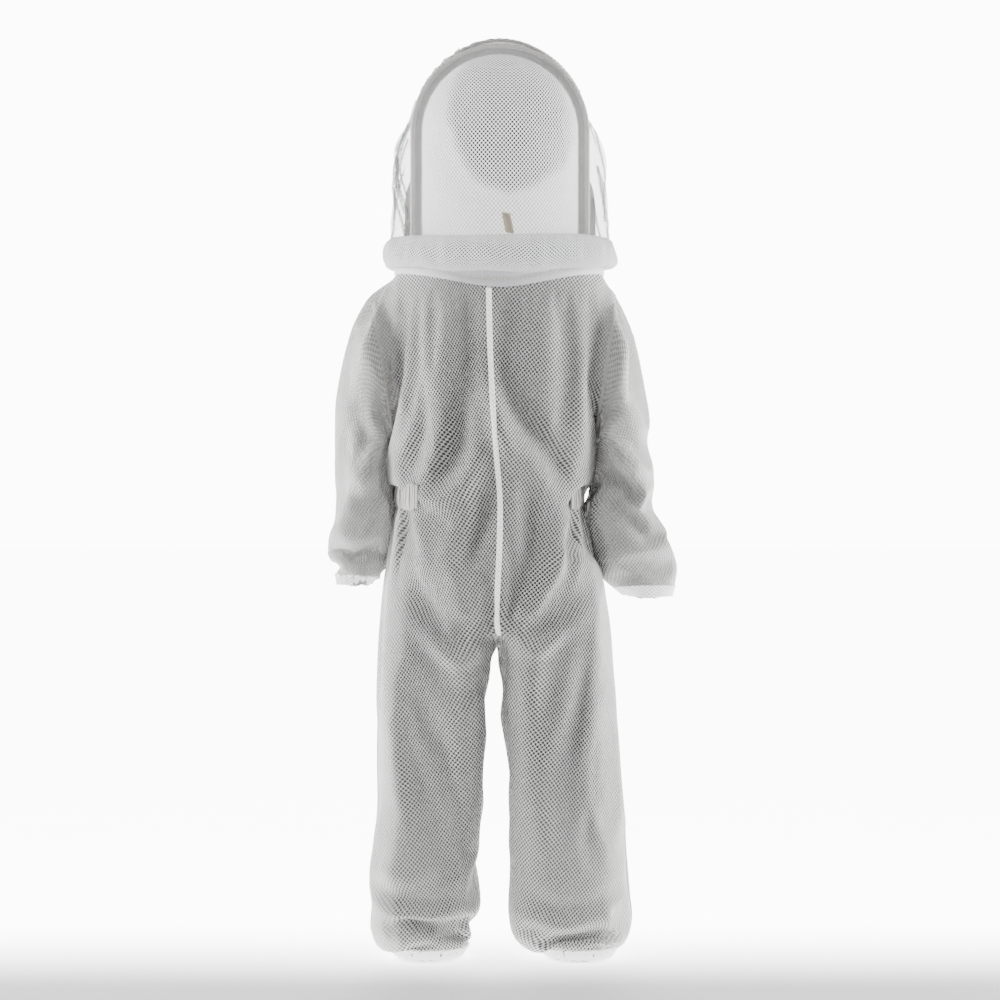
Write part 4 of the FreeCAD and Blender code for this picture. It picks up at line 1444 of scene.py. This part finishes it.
def flatCloth(name, x0, x1, yFace, thick, z0, z1, material, corner=9.0):
    # a stiff sewn tab: rounded corners, a raised bound edge and a softly crowned middle
    verts, faces = [], []
    columns, rows = 25, 19
    for sign in (1, -1):
        for r in range(rows):
            for c in range(columns):
                u, v = c / (columns - 1), r / (rows - 1)
                x, z = x0 + (x1 - x0) * u, z0 + (z1 - z0) * v
                dx, dz = min(u, 1 - u) * (x1 - x0), min(v, 1 - v) * (z1 - z0)
                if dx < corner and dz < corner:
                    reach = max(math.hypot(corner - dx, corner - dz), 1e-6)
                    pull = max(corner - dx, corner - dz) / reach
                    x += (corner - dx) * (1 - pull) * (1 if u < 0.5 else -1)
                    z += (corner - dz) * (1 - pull) * (1 if v < 0.5 else -1)
                edge = min(dx, dz)
                bulge = 0.5 * thick * (0.35 if edge < 0.5 else 1.0 if edge < 4.5 else 0.72)
                verts.append(place(x, yFace + thick / 2 - sign * bulge, z))
    count = rows * columns
    faces = gridFaces(rows, columns, False)
    faces += [tuple(count + i for i in f[::-1]) for f in faces]
    rim = list(range(columns)) + [r * columns + columns - 1 for r in range(1, rows)]
    rim += [count - 1 - c for c in range(1, columns)] + [r * columns for r in range(rows - 2, 0, -1)]
    faces += [(a, count + a, count + b, b) for a, b in zip(rim, rim[1:] + rim[:1])]
    piece = newObject(name, verts, faces, material)
    setWeave(piece.data, np.array([v.x for v in verts]), np.array([v.z for v in verts]))
    mesh = bmesh.new()
    mesh.from_mesh(piece.data)
    bmesh.ops.recalc_face_normals(mesh, faces=mesh.faces[:])
    mesh.to_mesh(piece.data)
    mesh.free()
    return piece


throat = flatCloth("throatFlap", -32, 32, -124.5, 3.0, 881, 929, cotton)
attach(throat, "throat_flap")
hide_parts("throat_flap")
print("pockets and flaps made")

hood = {
    "archZ": 1125.0, "archY": 31.5, "archRadius": 112.5, "baseZ": 982.0,
    "panelWidth": 106.0, "panelDepth": 78.0, "crownZ": 1254.0,
}


def archRun(radius, y, steps=140, low=None, topRise=0.0):
    # up the left leg, over the top and down the right leg, points in suit mm with outward direction
    low = hood["baseZ"] if low is None else low
    legLength = hood["archZ"] - low
    total = 2 * legLength + math.pi * radius
    run = []
    for i in range(steps):
        s = total * i / (steps - 1)
        if s < legLength:
            x, z, nx, nz = radius, low + s, 1.0, 0.0
        elif s > total - legLength:
            x, z, nx, nz = -radius, low + total - s, -1.0, 0.0
        else:
            a = (s - legLength) / radius
            x, z, nx, nz = radius * math.cos(a), hood["archZ"] + radius * math.sin(a), math.cos(a), math.sin(a)
        run.append((x, y, z + topRise * max(nz, 0) ** 3, nx, nz))
    return run


def hoodPanel():
    # back of the hood: a drum that closes in a quarter ball, slack between its seams
    verts, us, vs = [], [], []
    rows, columns = 90, 120
    w, d, base, top = hood["panelWidth"], hood["panelDepth"], 962.0, hood["archZ"]
    straight = top - base
    total = straight + w * math.pi / 2
    for r in range(rows):
        s = total * r / (rows - 1) * 0.999
        if s < straight:
            ring, z = 1.0, base + s
        else:
            a = (s - straight) / w
            ring, z = math.cos(a), top + w * math.sin(a)
        for c in range(columns):
            a = math.pi * c / (columns - 1)
            nx, ny = math.cos(a), math.sin(a)
            slack = (1.5 * math.sin(z / 21 + 2 * a) * math.sin(a * 5 + z / 60)
                     + 1.8 * math.sin(z / 37 + 1.0) * math.sin(3 * a)) * math.sin(a) * min(1, ring * 1.5)
            pull = 3.0 * math.exp(-((z - 978) / 16) ** 2)
            squeeze = 1 - 0.02 * (1 - ring)
            x = (w * ring * squeeze + slack - pull * 0.4) * nx
            y = hood["archY"] + 3.0 + (d * ring + slack - pull) * ny
            verts.append(place(x, y, z))
            us.append(w * 0.92 * (a - math.pi / 2) * max(ring, 0.25))
            vs.append(s)
    piece = newObject("hoodBackPanel", verts, gridFaces(rows, columns, False), meshHood)
    setWeave(piece.data, np.array(us) / 1000, np.array(vs) / 1000)
    thickened(piece, 2.4)
    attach(piece, "hood")
    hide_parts("hood_back_panel")
    return piece


def hoodCrown():
    # the cloth top from the rear arch forward, gathered where it meets the arch
    verts, us, vs = [], [], []
    rows, columns = 60, 110
    rise = hood["crownZ"] - hood["archZ"]
    y0 = hood["archY"] - 3.5
    low = math.asin((1183 - hood["archZ"]) / rise)
    for r in range(rows):
        f = r / (rows - 1)
        for c in range(columns):
            t = c / (columns - 1)
            # along t: from the left cut edge over the top; along f: from the arch forward to the cut edge
            b = low + (math.pi - 2 * low) * t
            halfWidth = 122 * math.cos(b)
            high = rise * math.sin(b)
            floorZ = 1183 - hood["archZ"]
            forward = 150 * math.sqrt(max(0.0, 1 - (floorZ / max(high, floorZ)) ** 2))
            y = forward * f
            scale = math.sqrt(max(0.0, 1 - (y / 150) ** 2))
            gather = 1.6 * math.sin(t * 95 + 2 * math.sin(t * 11))
            gather *= math.exp(-f * 7 - ((t - 0.3) / 0.22) ** 2)
            wave = 1.3 * math.sin(t * 17 + f * 6) * math.sin(f * math.pi)
            size = 1 + (gather + wave) / rise
            verts.append(place(halfWidth * scale * size, y0 - y, hood["archZ"] + high * scale * size))
            us.append(122 * 1.9 * (t - 0.5))
            vs.append(150 * 1.15 * f)
    piece = newObject("hoodCrown", verts, gridFaces(rows, columns, False), meshHood)
    setWeave(piece.data, np.array(us) / 1000, np.array(vs) / 1000)
    thickened(piece, 2.4)
    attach(piece, "hood")
    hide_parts("hood_crown")
    # greyish gathered binding along the rim, puckered and stitched
    run = archRun(119.5, 24.5, 180, 1150, 8.5)
    points = [place(x, y, z) for x, y, z, nx, nz in run]
    normals = [Vector((nx, 0.1, nz)) for x, y, z, nx, nz in run]

    def rimProfile(t):
        # a rolled edge, fuller where the crown's cloth is gathered into it
        puff = 1 + 0.16 * math.sin(t * 160 + 3 * math.sin(t * 23)) * math.exp(-((t - 0.36) / 0.2) ** 2)
        return [(5.5 * math.cos(b) * puff, 3.4 * math.sin(b) * puff - 0.5)
                for b in np.linspace(0, 2 * math.pi, 13)[:-1]]

    rim = strip("hoodCrownBinding", points, normals, rimProfile, rimCloth)
    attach(rim, "hood")


def hoopChannel():
    # a flat sleeve of mesh over the rod, with white piping along both edges
    run = archRun(hood["archRadius"], hood["archY"], 150)
    points = [place(x, y + 1.5, z) for x, y, z, nx, nz in run]
    normals = [Vector((0, 1, 0))] * len(run)
    profile = [(-8.6, -4.5), (-8.6, 1.0), (-7.2, 2.4), (-3.5, 3.0), (0, 3.4), (3.5, 3.0), (7.2, 2.4), (8.6, 1.0),
               (8.6, -4.5), (0, -5.0)]
    channel = strip("rearHoopChannel", points, normals, profile, grooveSatinShaded)
    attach(channel, "hood")
    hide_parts("rear_hoop_channel")
    for label, radius, thick in (("Outer", hood["archRadius"] + 6.2, 3.4),
                                 ("Inner", hood["archRadius"] - 6.6, 2.4)):
        run = archRun(radius, hood["archY"] + 4.2, 170)
        points = [place(x, y, z) for x, y, z, nx, nz in run]
        points = [p + Vector((0, 0.0004 * math.sin(i * 1.1), 0)) for i, p in enumerate(points)]
        piping = strip("hoopPiping" + label, points, [Vector((0, 1, 0))] * len(run), roundProfile(thick, 12), cotton)
        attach(piping, "hood")
    return channel


def tilted(x, y, z):
    # the front hoop leans forward about its feet
    a = math.radians(30)
    dy, dz = y + 25, z - 986
    return place(x, -25 + dy * math.cos(a) - dz * math.sin(a), 986 + dy * math.sin(a) + dz * math.cos(a))


def frontHoop():
    points, normals = [], []
    radius, leg = 128.0, 60.0
    total = 2 * leg + math.pi * radius
    for i in range(130):
        s = total * i / 129
        if s < leg:
            x, z, nx, nz = radius, s, 1, 0
        elif s > total - leg:
            x, z, nx, nz = -radius, total - s, -1, 0
        else:
            a = (s - leg) / radius
            x, z, nx, nz = radius * math.cos(a), leg + radius * math.sin(a), math.cos(a), math.sin(a)
        points.append(tilted(x, -25, 986 + z))
        normals.append(Vector((nx, -nz * 0.5, nz * 0.87)))
    profile = [(4.0 * math.cos(2 * math.pi * i / 12), 4.6 * math.sin(2 * math.pi * i / 12))
               for i in range(12)]
    piece = strip("frontHoopChannel", points, normals, profile, cotton)
    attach(piece, "hood")
    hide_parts("front_hoop_channel")


veilShape = {
    "sections": [(968, 122, 40, 152), (982, 122, 43, 170), (1000, 122, 42, 186), (1030, 121, 40, 203),
                 (1060, 121, 38, 208), (1100, 121, 34, 206), (1125, 120, 25, 202), (1150, 116, 14, 190),
                 (1170, 112, 6, 170), (1186, 108, 2, 142)],
    "folds": 4.2,
}


def veil():
    verts, us, vs = [], [], []
    rows, columns = 90, 170
    sections = veilShape["sections"]
    for r in range(rows):
        z = 968 + (1186 - 968) * r / (rows - 1)
        halfWidth, bulge, reach = (curveAt([(s[0], s[k]) for s in sections], z) for k in (1, 2, 3))
        for c in range(columns):
            i = c / (columns - 1) * 2 - 1
            angle = math.pi / 2 * (1 - abs(i))
            swell = bulge * (1 - math.exp(-angle / 0.17))
            x = (halfWidth + swell) * math.cos(angle) ** 0.85
            y = 28 - reach * math.sin(angle)
            side = math.exp(-(angle / 0.75) ** 2) * (1 - math.exp(-(angle / 0.08) ** 2))
            lift = math.sin((z - 982) / (1186 - 982) * math.pi) ** 0.5 if 982 < z < 1186 else 0.3
            along = (z - 1000) * 0.62 + (28 - y) * 0.9 * (1 if i > 0 else 0.7)
            fold = math.sin(2 * math.pi * along / 41) + 0.55 * math.sin(2 * math.pi * along / 19 + 1.2)
            push = veilShape["folds"] * fold * side * lift
            drape = 1.2 * math.sin(z / 23 + i * 9) * (1 - side)
            nx, ny = math.cos(angle), -math.sin(angle)
            verts.append(place(math.copysign(x + (push - 2.5 * side * lift + drape) * nx, i if i else 1),
                               y + (push * 0.6 + drape) * ny, z))
            us.append(i * 330)
            vs.append(z)
    piece = newObject("veilNet", verts, gridFaces(rows, columns, False), veilMaterial)
    setWeave(piece.data, np.array(us) / 1000, np.array(vs) / 1000)
    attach(piece, "hood")
    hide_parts("veil")
    # the flat size is an estimate, about 540 mm round and 225 mm tall; the folds take up the rest
    return piece


def veilFolds(net):
    # pleats where slack net lies over itself, running down from the arch
    tree = skinTree([net])
    parts = []
    for knots, width in (([(133, 1148), (150, 1110), (140, 1060), (122, 1000)], 5.0),
                         ([(152, 1100), (146, 1050), (134, 1010), (128, 985)], 3.0),
                         ([(122, 1180), (140, 1140), (153, 1105)], 2.6),
                         ([(156, 1095), (152, 1040), (156, 1000), (160, 975)], 2.4),
                         ([(124, 1120), (136, 1080), (126, 1040)], 2.4),
                         ([(-124, 1150), (-138, 1100), (-150, 1050), (-152, 1010)], 2.6),
                         ([(-132, 1085), (-140, 1040), (-150, 1000), (-158, 972)], 3.4),
                         ([(-126, 1040), (-132, 1000), (-140, 975)], 2.4)):
        t = np.linspace(0, len(knots) - 1, 40)
        xs = curveAt([(i, k[0]) for i, k in enumerate(knots)], t)
        zs = curveAt([(i, k[1]) for i, k in enumerate(knots)], t)
        points, normals = [], []
        for x, z in zip(xs, zs):
            spot = tree.ray_cast(place(x, 300, z), Vector((0, -1, 0)))[0]
            if spot is None:
                spot = tree.find_nearest(place(x, 0, z))[0]
            points.append(spot + Vector((math.copysign(0.0012, x), 0.0026, 0)))
            normals.append(Vector((0, 1, 0)) * 0.6 + Vector((math.copysign(0.6, x), 0, 0)))
        profile = [(-width, -0.2), (-width * 0.5, 0.9), (0, 1.3), (width * 0.5, 0.9), (width, -0.2), (0, 0.2)]
        parts.append(strip("veilFold", evened(points, 4), evened(normals, 4), profile, veilMaterial))
    piece = merged("veilFolds", parts)
    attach(piece, "hood")


def hoodCollar():
    # a soft double roll of mesh over the neck zip, pleated where it turns the shoulders
    verts, us, vs = [], [], []
    count, around = 260, 26
    for i in range(count):
        a = 2 * math.pi * i / count
        seamX = 140 * math.cos(a)
        low = neckSeamZ(seamX) + 19.0 - 9.0 * (seamX / 140) ** 2 + 1.2 * math.sin(a * 9 + 1)
        top = 981.0 + 2.0 * math.sin(a * 3 + 0.6)
        mid, half = (low + top) / 2, (top - low) / 2
        cx, cy = 152 * math.cos(a), 116 * math.sin(a) + 1
        flat = Vector((cx / 152 ** 2, cy / 116 ** 2, 0)).normalized()
        atBack = max(0.0, math.sin(a))
        crease = math.exp(-((seamX) / 5.0) ** 2) * (atBack > 0.5)
        pleat = math.sin(a * 23 + 1.4 * math.sin(a * 7)) * 0.5 + 0.5 * math.sin(a * 41 + 2 * math.cos(a * 5))
        for j in range(around):
            t = math.pi + 2 * math.pi * j / around
            co, si = math.cos(t), math.sin(t)
            out = (8.0 - 3.5 * si) * co
            high = half * math.copysign(abs(si) ** 0.85, si)
            out += (1.5 * pleat * (0.6 + 0.4 * si) - 3.0 * crease) * (co > -0.3)
            out += 1.6 * math.sin(2 * t + a * 5 + math.sin(a * 13)) * max(co, 0)
            verts.append(place(cx, cy, mid + high) + flat * out / 1000)
            us.append(150 * a)
            vs.append((half + 12) * t)
    faces = gridFaces(count, around, True)
    last = (count - 1) * around
    faces += [(last + c, last + (c + 1) % around, (c + 1) % around, c) for c in range(around)]
    piece = newObject("hoodCollar", verts, faces, meshRoll)
    setWeave(piece.data, np.array(us) / 1000, np.array(vs) / 1000)
    mesh = bmesh.new()
    mesh.from_mesh(piece.data)
    bmesh.ops.recalc_face_normals(mesh, faces=mesh.faces[:])
    mesh.to_mesh(piece.data)
    mesh.free()
    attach(piece, "hood")
    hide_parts("hood_collar")
    return piece


def hangerLoop():
    # a folded tape sewn down at both ends, leaning a little to the right
    knots = [(-7.5, 113.0, 1006), (-8.0, 116.5, 1007), (-9.0, 119.0, 1001), (-11.0, 119.4, 992), (-12.5, 118.5, 984),
             (-13.0, 116.0, 981.5), (-12.8, 113.0, 982)]
    t = np.linspace(0, len(knots) - 1, 40)
    columns = [curveAt([(i, k[axis]) for i, k in enumerate(knots)], t) for axis in range(3)]
    points = [place(x, y, z) for x, y, z in zip(*columns)]
    normals = []
    for i in range(len(points)):
        before, after = points[max(i - 1, 0)], points[min(i + 1, len(points) - 1)]
        normals.append((after - before).cross(Vector((1, 0, 0.2))).normalized() * -1)
    profile = [(-5.5, -0.6), (-5.5, 0.6), (0, 0.8), (5.5, 0.6), (5.5, -0.6), (0, -0.6)]
    piece = strip("hangerLoop", points, normals, profile, beigeTape)
    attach(piece, "hood")
    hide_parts("hanger_loop")


# Satin binding in the groove between the two cords: painted greyer than they are, as shade in the groove.
grooveSatinShaded = makeWoven("satinGrooveShaded", "#d4d4d6", "#b3b3b6", 1.1, 0.5, 0.00015, False, 0.3)
# Cotton binding gathered over the crown's edge: grey, matt and puckered.
rimCloth = makeWoven("crownBindingCotton", "#ecebe9", "#bdbdbc", 2.4, 0.9, 0.0006)
hoodPanel()
hoodCrown()
hoopChannel()
frontHoop()
veilFolds(veil())
hoodCollar()
hangerLoop()
print("hood made")

for side, piece in sleevePieces.items():
    sign = 1 if side == "left" else -1
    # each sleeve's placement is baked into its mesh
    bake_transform(piece)

# Plain CAD nodes that stay get the finish of what they are made of.
for names, material in ((("main_zip_slider", "main_zip_pull", "main_zip_stop", "neck_zip_slider_left",
                          "neck_zip_slider_right", "neck_zip_pull_left", "neck_zip_pull_right"), zinc),
                        (("rear_hoop_rod", "front_hoop_rod"), hoopPlastic),
                        (("throat_flap_tab", "throat_loop_pad"), cotton)):
    for name in names:
        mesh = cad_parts[name].data
        mesh.materials.clear()
        mesh.materials.append(material)

studio = {
    "distance": 3.6,       # metres from the body to the camera
    "field": 1.36,         # metres across the picture at the body
    "height": 0.626,
    "side": 74.0, "top": 16.0, "fill": 22.0,
    "bright": 12.0,        # the lit backdrop, beyond the wearer's front
    "dim": 0.09,           # the rest of the room
    "floorGlow": 10.5,     # the floor in front of the backdrop is lit with it
}


def areaLight(name, spot, target, size, power, colour="#ffffff"):
    light = bpy.data.lights.new(name, "AREA")
    light.shape = "RECTANGLE"
    light.size, light.size_y = size
    light.energy = power
    light.color = toLinear(colour)[:3]
    lamp = bpy.data.objects.new(name, light)
    bpy.context.collection.objects.link(lamp)
    lamp.location = spot
    lamp.rotation_euler = (Vector(target) - Vector(spot)).to_track_quat("-Z", "Y").to_euler()
    return lamp


def stageScene():
    floorPaint = makePlain("paintedFloor", "#ffffff", "#f6f6f6", 0.7, 0.0, 3.0, 0.0)
    shader = floorPaint.node_tree.nodes["Principled BSDF"]
    shader.inputs["Emission Color"].default_value = (1, 1, 1, 1)
    tree = floorPaint.node_tree
    where = addNode(tree, "ShaderNodeTexCoord")
    split = addNode(tree, "ShaderNodeSeparateXYZ", {0: where.outputs["Object"]})
    glow = addNode(tree, "ShaderNodeMapRange", {"Value": split.outputs[1], "From Min": 0.28, "From Max": -0.3,
                   "To Min": 0.0, "To Max": studio["floorGlow"]}, interpolation_type="SMOOTHSTEP")
    tree.links.new(glow.outputs[0], shader.inputs["Emission Strength"])
    floor = newObject("floor", [(-30, -30, 0), (30, -30, 0), (30, 5, 0), (-30, 5, 0)], [(0, 1, 2, 3)], floorPaint)
    floor.location.z = -0.0008
    world = bpy.data.worlds.new("studio")
    bpy.context.scene.world = world
    world.use_nodes = True
    tree = world.node_tree
    around = addNode(tree, "ShaderNodeTexCoord")
    split = addNode(tree, "ShaderNodeSeparateXYZ", {0: around.outputs["Generated"]})
    level = addNode(tree, "ShaderNodeMapRange", {"Value": split.outputs[1], "From Min": -0.88, "From Max": -0.95,
                    "To Min": studio["dim"], "To Max": studio["bright"]}, interpolation_type="SMOOTHSTEP")
    tree.links.new(level.outputs[0], tree.nodes["Background"].inputs[1])
    tree.nodes["Background"].inputs[0].default_value = (1, 1, 1, 1)
    areaLight("sideLeft", (2.3, 0.5, 1.1), (0.1, 0, 0.65), (1.0, 1.8), studio["side"])
    areaLight("sideRight", (-2.3, 0.4, 1.1), (-0.1, 0, 0.65), (1.0, 1.8), studio["side"])
    areaLight("fill", (0.8, 4.0, 2.2), (0, 0, 0.65), (2.4, 1.8), studio["fill"])
    areaLight("top", (0, 0.6, 2.9), (0, 0, 0.7), (1.6, 1.2), studio["top"])
    camera = bpy.data.cameras.new("camera")
    view = bpy.data.objects.new("camera", camera)
    bpy.context.collection.objects.link(view)
    bpy.context.scene.camera = view
    view.location = (0, midY + 0.035 + studio["distance"], studio["height"])
    view.rotation_euler = (math.pi / 2, 0, math.pi)
    camera.sensor_width = 36
    camera.lens = 36 * studio["distance"] / studio["field"]
    camera.clip_end = 40


stageScene()
print("scene lit")
